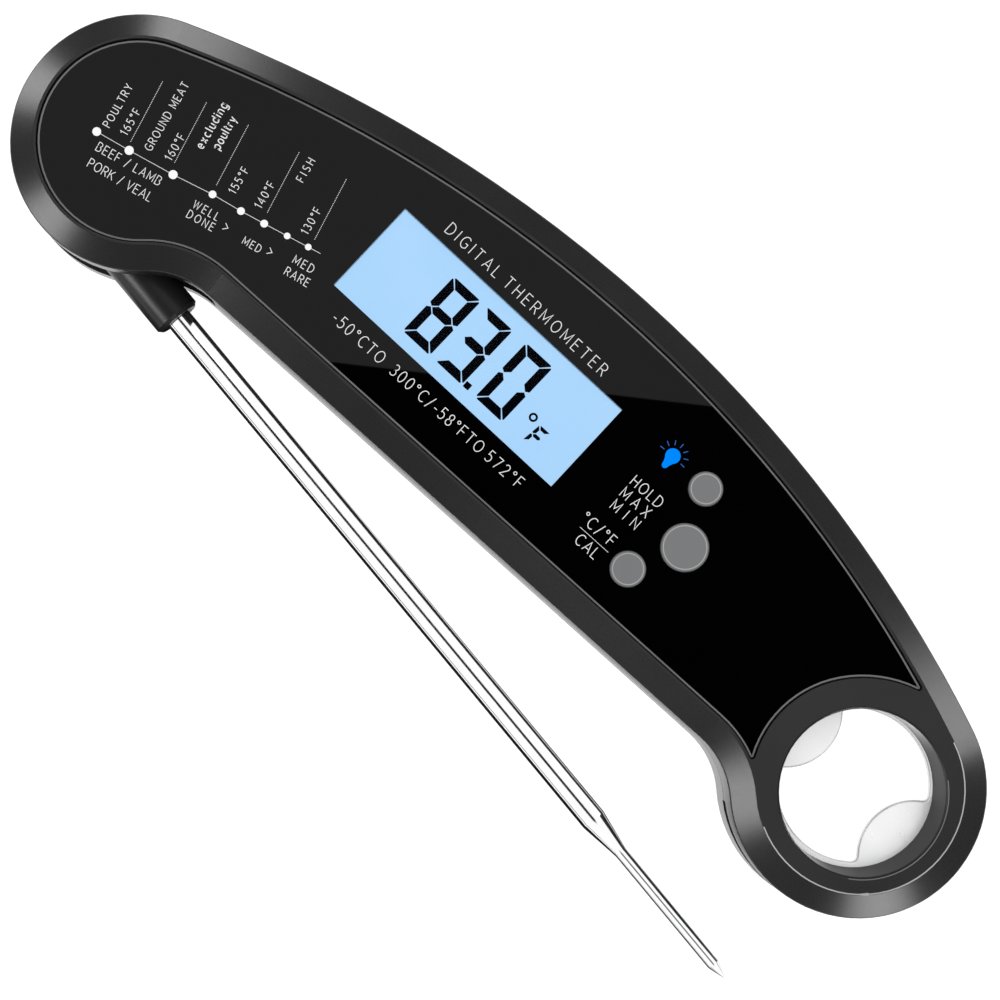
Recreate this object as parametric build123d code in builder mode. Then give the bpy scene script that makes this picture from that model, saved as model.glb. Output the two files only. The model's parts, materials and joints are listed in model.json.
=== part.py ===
"""Folding digital meat thermometer with a hanging ring and a bottle opener.

Frame: +X along the handle from the probe pivot towards the ring, +Y towards the curved edge, +Z out of the
display face. The origin lies on the flat back, halfway between the pivot axis and the ring's centre.
All sizes are in millimetres.
"""

import os
from math import cos, hypot, radians, sin, sqrt

from build123d import *

os.makedirs("parts", exist_ok=True)

# --- Handle outline: two round ends, one long crowned edge, one straight edge with hollow waists ---
half_span = 66.2  # pivot axis and ring centre, either side of the middle
end_radius = 17.75
crown_height = 30.43  # the crowned edge at its highest, above the line of centres
straight_y = -9.3
waist_radius = 12.0
crown_radius = (half_span**2 + crown_height**2 - end_radius**2) / (2 * (crown_height - end_radius))
crown_centre = Vector(0, crown_height - crown_radius)
waist_y = straight_y - waist_radius
waist_x = half_span - sqrt((end_radius + waist_radius) ** 2 - waist_y**2)
pivot = Vector(-half_span, 0)
ring = Vector(half_span, 0)

# --- Heights above the flat back ---
body_height = 20.0
parting_z = 10.0
floor_z = 2.0  # inside face of the rear wall
ceiling_z = 16.2  # inside face of the front wall
panel_z = 18.0  # floor of the recess that the front panel lies in
panel_top = 19.4
wall = 2.2
bay_length = 116.0
back_fillet = 1.8
edge_round = 0.3
seam_chamfer = 0.15

# --- Front bevel, panel and window ---
bevel_width = 3.4
bevel_drop = 2.0
lip_width = 0.35  # flat top of the lip round the panel
panel_gap = 0.2
panel_ring_radius = 15.1  # hollow end of the panel, round the ring
panel_flare_angle = 142.0  # where that hollow end leaves its circle, to run out flatter to the panel's horn
panel_flare_end = Vector(0.4, 15.85)  # from the ring's centre
panel_tip_radius = 0.45
panel_corner_x = 50.0  # the panel's two sharp corners lie beyond this
window_centre = Vector(-12.95, 10.0)
window_size = (40.5, 14.35)
window_turn = -0.9  # degrees that the display stands off the straight edge
lcd_size = (43.6, 17.2)
lcd_gap = 0.2

# --- Ring, opener plate ---
ring_mouth_offset = Vector(0.55, -0.2)  # the mouth stands a little off the ring's centre
ring_mouth_radius = 11.45
ring_mouth_round = 0.35
ring_throat_radius = 11.2
opener_radius = 10.6
opener_offset = Vector(0, 0.25)  # of the plate's bore, from the ring's centre
opener_rim_radius = 15.3
opener_lobe_radius = 8.0
opener_lobe_offset = 13.6
opener_lobe_shift = 0.45  # both lobes stand this much nearer the display
opener_root_radius = 0.8
opener_turn = -7.0
opener_z = 11.5
opener_thick = 1.5

# --- Probe arm, pivot and needle ---
rest_angle = -8.4  # the needle's direction at rest, from +X
folded_angle = -1.6
hub_radius = 17.0
hub_gap = 0.5
hub_bottom, hub_top = 6.6, 13.4
pocket_bottom, pocket_top = hub_bottom - hub_gap, hub_top + hub_gap
pocket_radius = hub_radius + hub_gap
far = 45.0  # well outside the handle, for plans that cut through its edge
slot_start, slot_end = 104.0, 330.0  # where the hub shows between the two shells
pocket_wall = 2.0
hub_groove_inner, hub_groove_outer, hub_groove_depth = 13.9, 15.4, 0.8
hub_seal_radius = 0.6
arm_offset = 11.26  # the needle's line passes this far from the pivot axis
arm_root_radius = 3.6
arm_radius = 3.4  # at the end that the needle comes out of
arm_length = 21.1
arm_straight_start = 12.0
arm_end_round = 0.5
channel_end = arm_length + 0.6  # the folded arm's channel in the housing
channel_wall = 1.8
arm_z = (hub_bottom + hub_top) / 2
trunnion_radius = 4.5
trunnion_bore = 2.5
running_gap = 0.05
bush_radius = 5.5
bush_top = 15.6
core_inner, core_outer, rib_width = 7.6, 12.5, 1.4
needle_radius = 1.83
needle_bore = 1.4
tip_radius = 0.89
tip_bore = 0.55
seat_start = 8.0  # the needle's hidden end in the arm
taper_start = 111.7
taper_end = 117.7
point_start = 137.8
needle_end = 140.3
bead_start, bead_end = 133.3, 136.3
wake_magnet_radius, wake_magnet_height = 1.5, 2.0
wake_magnet_at = Vector(-53.4, 5.0)

# --- Electronics ---
board_bottom, board_top = 11.6, 12.8
board_gap = 0.8
switch_height = 1.6
plunger_radius = 0.9
lcd_z, lcd_thick = 16.3, 1.5
lead_radius = 0.3
lead_top = 16.2
lead_channel_top = 16.8
sensor_lead_radius = 0.16
key_travel = 0.4
key_proud = 0.6
key_gap = 0.15
keys = {
    "light": (Vector(23.15, 16.4), 2.4),
    "hold": (Vector(26.35, 8.5), 3.35),
    "unit": (Vector(22.5, 1.1), 2.5),
}

# --- Battery and its door ---
battery_centre = Vector(28.0, 9.0)
cell_radius, cell_height, cell_z = 10.0, 3.2, 5.3
cell_well_radius = 10.9
door_radius, door_recess_radius = 15.0, 15.2
door_recess_z = 2.0
plug_radius, throat_radius = 12.2, 12.4
ledge_top, track_top = 3.8, 5.2
lug_radius, track_radius = 13.3, 13.6
lug_angle, lug_slot_angle = 24.0, 32.0
door_turn = 40.0
door_seal_radius = 14.0
coin_slot = (15.0, 2.2, 1.5)  # length, width, depth
battery_boss_radius = 16.6

# --- Fasteners and magnets ---
screw_radius, screw_head_radius, screw_head_height = 1.1, 1.8, 1.3
screw_head_z = 1.2
boss_radius = 2.4
ring_boss_radius = 2.0  # the post of the screw past the ring
ring_screw_offset = 14.4
screw_top = 14.6
housing_screws_at = [
    (-44.5, 16.5),
    (-42.0, -4.3),
    (-13.0, 24.6),
    (9.6, -3.9),
    (48.5, 16.0),
    (43.5, -3.8),
    (half_span + ring_screw_offset, 0.0),
]
board_screws_at = [(-39.0, 5.0), (12.6, 23.0), (40.5, 20.4)]
board_screw_radius, board_screw_length, board_boss_radius = 0.9, 5.0, 2.1
seal_depth = 0.7
magnets_at = [(-30.0, 10.0), (-6.0, 10.0)]
magnet_radius, magnet_height, magnet_z = 6.0, 2.2, 0.1

pivot_plane = Plane(origin=(pivot.X, pivot.Y, 0))
arm_plane = Plane(
    origin=(pivot.X, pivot.Y, 0),
    x_dir=(cos(radians(rest_angle)), sin(radians(rest_angle)), 0),
    z_dir=(0, 0, 1),
)
folded_plane = Plane(
    origin=(pivot.X, pivot.Y, 0),
    x_dir=(cos(radians(folded_angle)), sin(radians(folded_angle)), 0),
    z_dir=(0, 0, 1),
)
# The needle's own section: x runs along it from the foot of the pivot, y points up.
needle_plane = Plane(
    origin=arm_plane.from_local_coords(Vector(0, -arm_offset, arm_z)),
    x_dir=arm_plane.x_dir,
    z_dir=-arm_plane.y_dir,
)
needle_axis = Axis(needle_plane.origin, needle_plane.x_dir)


def towards(centre, radius, target):
    """The point of a circle that lies towards a target."""
    return centre + (target - centre).normalized() * radius


def outline(inset=0.0):
    """The handle's outline, moved inwards by inset. Every arc keeps its centre."""
    end_r = end_radius - inset
    waist_r = waist_radius + inset
    crown_r = crown_radius - inset
    base_y = straight_y + inset
    left_waist, right_waist = Vector(-waist_x, waist_y), Vector(waist_x, waist_y)
    crown_left = towards(crown_centre, crown_r, pivot)
    crown_right = towards(crown_centre, crown_r, ring)
    left_low = towards(pivot, end_r, left_waist)
    right_low = towards(ring, end_r, right_waist)
    left_corner, right_corner = Vector(-waist_x, base_y), Vector(waist_x, base_y)
    left_mid = towards(left_waist, waist_r, (left_low + left_corner) / 2)
    right_mid = towards(right_waist, waist_r, (right_low + right_corner) / 2)
    with BuildSketch() as face:
        with BuildLine():
            ThreePointArc(crown_left, Vector(0, crown_centre.Y + crown_r), crown_right)
            ThreePointArc(crown_right, ring + Vector(end_r, 0), right_low)
            ThreePointArc(right_low, right_mid, right_corner)
            Line(right_corner, left_corner)
            ThreePointArc(left_corner, left_mid, left_low)
            ThreePointArc(left_low, pivot - Vector(end_r, 0), crown_left)
        make_face()
    return face.sketch


def arm_channel(clearance):
    """Plan of the folded arm's place along the straight edge, with room round the arm."""
    inner = arm_offset - arm_radius - clearance
    end = channel_end + clearance - hub_gap
    corners = [(8, -inner), (end, -inner), (end, -far), (8, -far)]
    with BuildSketch() as plan:
        with BuildLine():
            Polyline(*[folded_plane.from_local_coords(Vector(*c)) for c in corners], close=True)
        make_face()
    return plan.sketch


def bay(inset=0.0):
    """Plan of the electronics bay, between the hub's pocket, the arm's channel and the ring."""
    with BuildSketch() as plan:
        add(outline(wall + inset))
        with Locations((pivot.X, pivot.Y)):
            Circle(pocket_radius + pocket_wall + inset, mode=Mode.SUBTRACT)
        with Locations((ring.X, ring.Y)):
            Circle(end_radius + inset, mode=Mode.SUBTRACT)
        add(arm_channel(hub_gap + channel_wall + inset), mode=Mode.SUBTRACT)
        with Locations((0, 10)):
            Rectangle(bay_length - 2 * inset, 60, mode=Mode.INTERSECT)
    return plan.sketch


def panel_plan(gap=0.0):
    """Plan of the panel's recess, or of the panel with a gap round it, cut hollow round the ring."""
    ring_clear = panel_ring_radius + gap
    with BuildSketch() as plan:
        add(outline(bevel_width + lip_width + gap))
        with Locations((ring.X, ring.Y)):
            Circle(ring_clear, mode=Mode.SUBTRACT)
        turn = radians(panel_flare_angle)
        flare_start = ring + Vector(cos(turn), sin(turn)) * ring_clear
        with BuildLine():
            flare_end = ring + panel_flare_end + Vector(0, gap)
            TangentArc(flare_start, flare_end, tangent=Vector(sin(turn), -cos(turn)))
            Polyline(flare_end, ring, flare_start)
        make_face(mode=Mode.SUBTRACT)
        with Locations((-20, 10)):
            Rectangle(172, 60, mode=Mode.INTERSECT)
        corners = plan.vertices().filter_by(lambda v: v.X > panel_corner_x and abs(v.Y - flare_start.Y) > 1)
        fillet(corners, panel_tip_radius - gap)
    return plan.sketch


def hub_opening():
    """Plan of the hub's pocket and of the arc where the arm swings out."""
    steps = 6
    angles = [slot_start + i * (slot_end - slot_start) / steps for i in range(steps + 1)]
    with BuildSketch() as plan:
        with Locations((pivot.X, pivot.Y)):
            Circle(pocket_radius)
        with BuildLine():
            rim = [pivot + Vector(far * cos(radians(a)), far * sin(radians(a))) for a in angles]
            Polyline(pivot, *rim, close=True)
        make_face()
        add(arm_channel(hub_gap))
    return plan.sketch


def hub_core():
    """Plan of the hollow round a bush seat: a ring crossed by six ribs."""
    with BuildSketch() as plan:
        with Locations((pivot.X, pivot.Y)):
            Circle(core_outer)
            Circle(core_inner, mode=Mode.SUBTRACT)
            with PolarLocations(0, 6, start_angle=30):
                with Locations(((core_outer + core_inner) / 2, 0)):
                    Rectangle(8, rib_width, mode=Mode.SUBTRACT)
    return plan.sketch


def tip_notch():
    """Plan of the slot in the ring's side that the folded needle's tip lies in."""
    inner = arm_offset - tip_radius - 0.4
    with BuildSketch() as plan:
        with BuildLine():
            start, end = taper_end + 0.7, needle_end + 1.0
            corners = [(start, -inner), (end, -inner), (end, -25), (start, -25)]
            Polyline(*[folded_plane.from_local_coords(Vector(*c)) for c in corners], close=True)
        make_face()
    return plan.sketch


def window_plane(height):
    """The display's own plane, turned with the window."""
    turn = radians(window_turn)
    return Plane(
        origin=(window_centre.X, window_centre.Y, height), x_dir=(cos(turn), sin(turn), 0), z_dir=(0, 0, 1)
    )


def opener_plan():
    """Plan of the opener plate: a ring with two round lobes facing each other."""
    with BuildSketch() as plan:
        with Locations((ring.X, ring.Y)):
            Circle(opener_rim_radius)
        with Locations((ring.X + opener_offset.X, ring.Y + opener_offset.Y)):
            Circle(opener_radius, mode=Mode.SUBTRACT)
    with BuildSketch() as lobes:
        with Locations(Location((ring.X - opener_lobe_shift, ring.Y, 0), (0, 0, opener_turn))):
            with Locations((opener_lobe_offset, 0), (-opener_lobe_offset, 0)):
                Circle(opener_lobe_radius)
        with Locations((ring.X, ring.Y)):
            Circle(opener_rim_radius, mode=Mode.INTERSECT)
    with BuildSketch() as joined:
        add(plan.sketch)
        add(lobes.sketch)
        # Room for the screw boss at the ring's far end.
        with Locations(housing_screws_at[-1]):
            Circle(ring_boss_radius + 0.15, mode=Mode.SUBTRACT)
        bore = ring + opener_offset
        inner = joined.vertices().filter_by(lambda v: hypot(v.X - bore.X, v.Y - bore.Y) < opener_radius + 0.1)
        fillet(inner, opener_root_radius)
    return joined.sketch


def seal_plan():
    """Plan of the housing seal, a band round the bay."""
    with BuildSketch() as inner:
        add(bay())
        offset(amount=0.5)
    with BuildSketch() as plan:
        add(bay())
        offset(amount=1.1)
        add(inner.sketch, mode=Mode.SUBTRACT)
    return plan.sketch


def lug_plan(radius, width, turn):
    """Plan of the door's three lugs, or of the slots that let them in."""
    with BuildSketch() as plan:
        for start in (0, 120, 240):
            first = start + turn - width / 2
            with BuildLine(Plane(origin=(battery_centre.X, battery_centre.Y, 0))):
                rim = CenterArc((0, 0), radius, first, width)
                hub = CenterArc((0, 0), plug_radius - 0.5, first, width)
                Line(rim @ 0, hub @ 0)
                Line(rim @ 1, hub @ 1)
            make_face()
    return plan.sketch


def save(piece, name):
    """Labels a finished piece and writes it to its own file."""
    piece.part.label = name
    export_step(piece.part, f"parts/{name}.step")


# ---------------------------------------------------------------------------------------------------------
# Housing
# ---------------------------------------------------------------------------------------------------------

with BuildPart() as front_housing:
    with BuildSketch(Plane.XY.offset(parting_z)):
        add(outline())
    extrude(amount=body_height - parting_z)
    top = front_housing.faces().sort_by(Axis.Z)[-1]
    chamfer(top.edges(), length=bevel_width, length2=bevel_drop, reference=top)
    crease = front_housing.faces().sort_by(Axis.Z)[-1].edges()
    fillet(crease, edge_round)
    shoulder = front_housing.edges().filter_by(
        lambda e: abs(e.center().Z - (body_height - bevel_drop)) < 0.01 and e.bounding_box().size.Z < 0.01
    )
    fillet(shoulder, edge_round)
    chamfer(front_housing.faces().sort_by(Axis.Z)[0].edges(), seam_chamfer)
    # Recess for the panel.
    with BuildSketch(Plane.XY.offset(panel_z)):
        add(panel_plan())
    extrude(amount=body_height, mode=Mode.SUBTRACT)
    # Electronics bay, display opening and key holes.
    with BuildSketch(Plane.XY.offset(parting_z - 1)):
        add(bay())
    extrude(amount=ceiling_z - parting_z + 1, mode=Mode.SUBTRACT)
    with BuildSketch(window_plane(ceiling_z - 1)):
        Rectangle(lcd_size[0] + 2 * lcd_gap, lcd_size[1] + 2 * lcd_gap)
    extrude(amount=5, mode=Mode.SUBTRACT)
    for centre, radius in keys.values():
        with BuildSketch(Plane.XY.offset(ceiling_z - 1)):
            with Locations((centre.X, centre.Y)):
                Circle(radius + key_gap)
        extrude(amount=5, mode=Mode.SUBTRACT)
    # Hub pocket, its cored ceiling, and the seat of the upper bush.
    with BuildSketch(Plane.XY.offset(parting_z - 1)):
        add(hub_opening())
    extrude(amount=pocket_top - parting_z + 1, mode=Mode.SUBTRACT)
    with BuildSketch(Plane.XY.offset(pocket_top - 0.1)):
        add(hub_core())
    extrude(amount=ceiling_z - pocket_top + 0.1, mode=Mode.SUBTRACT)
    with BuildSketch(Plane.XY.offset(pocket_top - 1)):
        with Locations((pivot.X, pivot.Y)):
            Circle(bush_radius)
    extrude(amount=bush_top - pocket_top + 1, mode=Mode.SUBTRACT)
    # Groove of the upper hub seal.
    with BuildSketch(Plane.XY.offset(pocket_top - 0.1)):
        with Locations((pivot.X, pivot.Y)):
            Circle(hub_groove_outer)
            Circle(hub_groove_inner, mode=Mode.SUBTRACT)
    extrude(amount=hub_groove_depth + 0.1, mode=Mode.SUBTRACT)
    # Channel for the sensor leads, from the pivot to the bay.
    with BuildSketch(Plane.XY.offset(bush_top - 0.1)):
        with Locations((pivot.X + 11, 0)):
            Rectangle(26, 2.6)
    extrude(amount=lead_channel_top - bush_top + 0.1, mode=Mode.SUBTRACT)
    # Ring: tapered mouth, seat of the opener plate, slot of the folded tip.
    with BuildSketch(Plane.XY.offset(body_height)):
        with Locations((ring.X + ring_mouth_offset.X, ring.Y + ring_mouth_offset.Y)):
            Circle(ring_mouth_radius)
    with BuildSketch(Plane.XY.offset(opener_z + opener_thick)):
        with Locations((ring.X, ring.Y)):
            Circle(ring_throat_radius)
    loft(mode=Mode.SUBTRACT)
    with BuildSketch(Plane.XY.offset(parting_z - 1)):
        with Locations((ring.X, ring.Y)):
            Circle(opener_rim_radius + 0.1)
    extrude(amount=opener_z + opener_thick - parting_z + 1, mode=Mode.SUBTRACT)
    with BuildSketch(Plane.XY.offset(parting_z - 1)):
        add(tip_notch())
    extrude(amount=opener_z - parting_z + 1, mode=Mode.SUBTRACT)
    mouth = front_housing.edges().filter_by(GeomType.CIRCLE).filter_by(
        lambda e: abs(e.radius - ring_mouth_radius) < 0.01 and abs(e.center().Z - body_height) < 0.01
    )
    fillet(mouth, ring_mouth_round)
    # Posts that take the housing screws and the board screws.
    with BuildSketch(Plane.XY.offset(parting_z)):
        with Locations(*housing_screws_at[:-1]):
            Circle(boss_radius)
    extrude(amount=ceiling_z - parting_z)
    with BuildSketch(Plane.XY.offset(parting_z)):
        with Locations(housing_screws_at[-1]):
            Circle(ring_boss_radius)
    extrude(amount=opener_z + opener_thick - parting_z)
    with BuildSketch(Plane.XY.offset(board_top)):
        with Locations(*board_screws_at):
            Circle(board_boss_radius)
    extrude(amount=ceiling_z - board_top)
    with BuildSketch(Plane.XY.offset(parting_z - 1)):
        with Locations(*housing_screws_at):
            Circle(screw_radius)
    extrude(amount=screw_top - parting_z + 1.2, mode=Mode.SUBTRACT)
    with BuildSketch(Plane.XY.offset(board_top - 1)):
        with Locations(*board_screws_at):
            Circle(board_screw_radius)
    extrude(amount=3.8, mode=Mode.SUBTRACT)
save(front_housing, "front_housing")

with BuildPart() as rear_housing:
    with BuildSketch():
        add(outline())
    extrude(amount=parting_z)
    fillet(rear_housing.faces().sort_by(Axis.Z)[0].edges(), back_fillet)
    chamfer(rear_housing.faces().sort_by(Axis.Z)[-1].edges(), seam_chamfer)
    # Electronics bay.
    with BuildSketch(Plane.XY.offset(floor_z)):
        add(bay())
    extrude(amount=parting_z, mode=Mode.SUBTRACT)
    # Hub pocket, its cored floor, the seat of the lower bush and the seal groove.
    with BuildSketch(Plane.XY.offset(pocket_bottom)):
        add(hub_opening())
    extrude(amount=parting_z, mode=Mode.SUBTRACT)
    with BuildSketch(Plane.XY.offset(floor_z)):
        add(hub_core())
    extrude(amount=pocket_bottom - floor_z + 0.1, mode=Mode.SUBTRACT)
    with BuildSketch(Plane.XY.offset(floor_z)):
        with Locations((pivot.X, pivot.Y)):
            Circle(bush_radius)
    extrude(amount=pocket_bottom - floor_z + 0.1, mode=Mode.SUBTRACT)
    with BuildSketch(Plane.XY.offset(pocket_bottom - hub_groove_depth)):
        with Locations((pivot.X, pivot.Y)):
            Circle(hub_groove_outer)
            Circle(hub_groove_inner, mode=Mode.SUBTRACT)
    extrude(amount=hub_groove_depth + 0.1, mode=Mode.SUBTRACT)
    # Upstand that clamps the opener plate, clear of the far screw post.
    with BuildSketch(Plane.XY.offset(parting_z - 1)):
        with Locations((ring.X, ring.Y)):
            Circle(opener_rim_radius)
        with Locations(housing_screws_at[-1]):
            Circle(ring_boss_radius + 0.1, mode=Mode.SUBTRACT)
    extrude(amount=opener_z - parting_z + 1)
    with BuildSketch(Plane.XY.offset(parting_z)):
        with Locations(housing_screws_at[-1]):
            Circle(ring_boss_radius + 0.1)
    extrude(amount=2, mode=Mode.SUBTRACT)
    with BuildSketch(Plane.XY.offset(-1)):
        with Locations((ring.X, ring.Y)):
            Circle(ring_throat_radius)
    extrude(amount=opener_z + 2, mode=Mode.SUBTRACT)
    back_mouth = rear_housing.edges().filter_by(GeomType.CIRCLE).filter_by(
        lambda e: abs(e.radius - ring_throat_radius) < 0.01 and abs(e.center().Z) < 0.01
    )
    fillet(back_mouth, 1.2)
    with BuildSketch(Plane.XY.offset(2 * arm_z - opener_z)):
        add(tip_notch())
    extrude(amount=opener_z, mode=Mode.SUBTRACT)
    # Screw posts with sunk heads.
    with BuildSketch(Plane.XY.offset(floor_z - 0.5)):
        with Locations(*housing_screws_at[:-1]):
            Circle(boss_radius)
    extrude(amount=parting_z - floor_z + 0.5)
    with BuildSketch():
        with Locations(*housing_screws_at):
            Circle(screw_head_radius + 0.2)
    extrude(amount=screw_head_z + screw_head_height, mode=Mode.SUBTRACT)
    with BuildSketch():
        with Locations(*housing_screws_at):
            Circle(screw_radius + 0.1)
    extrude(amount=parting_z + 1, mode=Mode.SUBTRACT)
    # Magnet seats.
    with BuildSketch(Plane.XY.offset(floor_z - 0.5)):
        with Locations(*magnets_at):
            Circle(magnet_radius + 1.2)
    extrude(amount=1.8)
    with BuildSketch():
        with Locations(*magnets_at):
            Circle(magnet_radius)
    extrude(amount=magnet_z + magnet_height, mode=Mode.SUBTRACT)
    # Battery compartment: door recess, ledge, lug track and cell well.
    with BuildSketch(Plane.XY.offset(floor_z - 0.5)):
        with Locations((battery_centre.X, battery_centre.Y)):
            Circle(battery_boss_radius)
        add(outline(wall / 2), mode=Mode.INTERSECT)
    extrude(amount=track_top + 1.2 - floor_z + 0.5)
    with BuildSketch():
        with Locations((battery_centre.X, battery_centre.Y)):
            Circle(door_recess_radius)
    extrude(amount=door_recess_z, mode=Mode.SUBTRACT)
    with BuildSketch():
        with Locations((battery_centre.X, battery_centre.Y)):
            Circle(throat_radius)
    extrude(amount=track_top, mode=Mode.SUBTRACT)
    with BuildSketch(Plane.XY.offset(ledge_top)):
        with Locations((battery_centre.X, battery_centre.Y)):
            Circle(track_radius)
    extrude(amount=track_top - ledge_top, mode=Mode.SUBTRACT)
    with BuildSketch():
        with Locations((battery_centre.X, battery_centre.Y)):
            Circle(cell_well_radius)
    extrude(amount=parting_z, mode=Mode.SUBTRACT)
    # Slots that let the lugs in, a door's turn away from the locked place.
    with BuildSketch():
        add(lug_plan(track_radius, lug_slot_angle, door_turn))
    extrude(amount=track_top, mode=Mode.SUBTRACT)
    # Groove of the housing seal.
    with BuildSketch(Plane.XY.offset(parting_z - seal_depth)):
        add(seal_plan())
    extrude(amount=1, mode=Mode.SUBTRACT)
save(rear_housing, "rear_housing")

with BuildPart() as housing_seal:
    with BuildSketch(Plane.XY.offset(parting_z - seal_depth)):
        add(seal_plan())
    extrude(amount=seal_depth)
save(housing_seal, "housing_seal")

with BuildPart() as housing_screws:
    with BuildSketch(Plane.XY.offset(screw_head_z)):
        with Locations(*housing_screws_at):
            Circle(screw_head_radius)
    extrude(amount=screw_head_height)
    with BuildSketch(Plane.XY.offset(screw_head_z)):
        with Locations(*housing_screws_at):
            Circle(screw_radius)
    extrude(amount=screw_top - screw_head_z)
    with BuildSketch(Plane.XY.offset(screw_head_z)):
        with Locations(*housing_screws_at):
            Rectangle(2.4, 0.5)
            Rectangle(0.5, 2.4)
    extrude(amount=0.8, mode=Mode.SUBTRACT)
save(housing_screws, "housing_screws")

with BuildPart() as front_panel:
    with BuildSketch(Plane.XY.offset(panel_z)):
        add(panel_plan(panel_gap))
    extrude(amount=panel_top - panel_z)
    chamfer(front_panel.faces().sort_by(Axis.Z)[-1].edges(), 0.15)
    with BuildSketch(window_plane(panel_z)):
        Rectangle(window_size[0], window_size[1])
    extrude(amount=3, mode=Mode.SUBTRACT)
    for centre, radius in keys.values():
        with BuildSketch(Plane.XY.offset(panel_z)):
            with Locations((centre.X, centre.Y)):
                Circle(radius + key_gap)
        extrude(amount=3, mode=Mode.SUBTRACT)
save(front_panel, "front_panel")

with BuildPart() as display_window:
    with BuildSketch(window_plane(panel_z)):
        Rectangle(window_size[0], window_size[1])
    extrude(amount=panel_top - panel_z - 0.1)
save(display_window, "display_window")

with BuildPart() as back_magnets:
    with BuildSketch(Plane.XY.offset(magnet_z)):
        with Locations(*magnets_at):
            Circle(magnet_radius)
    extrude(amount=magnet_height)
    chamfer(back_magnets.faces().filter_by(Axis.Z).group_by(Axis.Z)[0].edges(), 0.2)
save(back_magnets, "back_magnets")

with BuildPart() as opener_plate:
    with BuildSketch(Plane.XY.offset(opener_z)):
        add(opener_plan())
    extrude(amount=opener_thick)
    lobe_edges = opener_plate.faces().filter_by(Axis.Z).edges().filter_by(
        lambda e: hypot((e @ 0.5).X - ring.X, (e @ 0.5).Y - ring.Y) < 11.2
    )
    fillet(lobe_edges, 0.35)
save(opener_plate, "opener_plate")

# ---------------------------------------------------------------------------------------------------------
# Keys and electronics
# ---------------------------------------------------------------------------------------------------------

switch_top = board_top + switch_height
plunger_top = switch_top + key_travel + 0.1

for name, (centre, radius) in keys.items():
    with BuildPart() as key:
        with BuildSketch(Plane.XY.offset(plunger_top)):
            with Locations((centre.X, centre.Y)):
                Circle(radius + 0.9)
        extrude(amount=ceiling_z - plunger_top - 0.1)
        with BuildSketch(Plane.XY.offset(plunger_top)):
            with Locations((centre.X, centre.Y)):
                Circle(radius)
        extrude(amount=panel_top + key_proud - plunger_top)
        fillet(key.faces().sort_by(Axis.Z)[-1].edges(), 0.35)
    save(key, f"{name}_key")

for name, (centre, radius) in keys.items():
    with BuildPart() as plunger:
        with BuildSketch(Plane.XY.offset(board_top + 0.6)):
            with Locations((centre.X, centre.Y)):
                Circle(plunger_radius)
        extrude(amount=plunger_top - board_top - 0.6)
    save(plunger, f"{name}_plunger")

with BuildPart() as switch_bodies:
    with BuildSketch(Plane.XY.offset(board_top)):
        with Locations(*[(centre.X, centre.Y) for centre, radius in keys.values()]):
            Rectangle(4.5, 4.5)
    extrude(amount=switch_height)
    chamfer(switch_bodies.edges().filter_by(Axis.Z), 0.4)
    with BuildSketch(Plane.XY.offset(board_top + 0.1)):
        with Locations(*[(centre.X, centre.Y) for centre, radius in keys.values()]):
            Circle(plunger_radius + running_gap)
    extrude(amount=switch_height, mode=Mode.SUBTRACT)
save(switch_bodies, "switch_bodies")

with BuildPart() as lcd_panel:
    with BuildSketch(window_plane(lcd_z)):
        Rectangle(lcd_size[0], lcd_size[1])
    extrude(amount=lcd_thick)
save(lcd_panel, "lcd_panel")

with BuildPart() as backlight_guide:
    with BuildSketch(window_plane(board_top)):
        with Locations((0, 1.6)):
            Rectangle(lcd_size[0] - 3.2, lcd_size[1] - 4.4)
    extrude(amount=lcd_z - board_top)
save(backlight_guide, "backlight_guide")

with BuildPart() as backlight_leds:
    with BuildSketch(window_plane(board_top)):
        with Locations((lcd_size[0] / 2 - 0.7, 4.6), (lcd_size[0] / 2 - 0.7, -1.4)):
            Rectangle(1.4, 2.8)
    extrude(amount=1.2)
save(backlight_leds, "backlight_leds")

with BuildPart() as lcd_connector:
    with BuildSketch(window_plane(board_top)):
        with Locations((0, 1.4 - lcd_size[1] / 2)):
            Rectangle(38, 1.8)
    extrude(amount=lcd_z - board_top)
save(lcd_connector, "lcd_connector")

with BuildPart() as circuit_board:
    with BuildSketch(Plane.XY.offset(board_bottom)):
        add(bay(board_gap))
        with Locations(*housing_screws_at):
            Circle(boss_radius + 0.4, mode=Mode.SUBTRACT)
        with Locations(*board_screws_at):
            Circle(board_screw_radius, mode=Mode.SUBTRACT)
    extrude(amount=board_top - board_bottom)
save(circuit_board, "circuit_board")

with BuildPart() as controller_chip:
    with BuildSketch(Plane.XY.offset(board_bottom - 1.4)):
        with Locations((-12, 8)):
            Rectangle(10, 10)
    extrude(amount=1.4)
    chamfer(controller_chip.faces().sort_by(Axis.Z)[0].edges(), 0.3)
save(controller_chip, "controller_chip")

with BuildPart() as reed_switch:
    with BuildSketch(Plane(origin=(-44.0, 3.6, board_bottom - 1.1), z_dir=(0, 1, 0))):
        Circle(1.1)
    extrude(amount=8)
    chamfer(reed_switch.faces().filter_by(Axis.Y).edges(), 0.4)
save(reed_switch, "reed_switch")

with BuildPart() as board_screws:
    with BuildSketch(Plane.XY.offset(board_bottom - 1.0)):
        with Locations(*board_screws_at):
            Circle(1.7)
    extrude(amount=1.0)
    with BuildSketch(Plane.XY.offset(board_bottom - 1.0)):
        with Locations(*board_screws_at):
            Circle(board_screw_radius)
    extrude(amount=board_screw_length)
save(board_screws, "board_screws")

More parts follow.
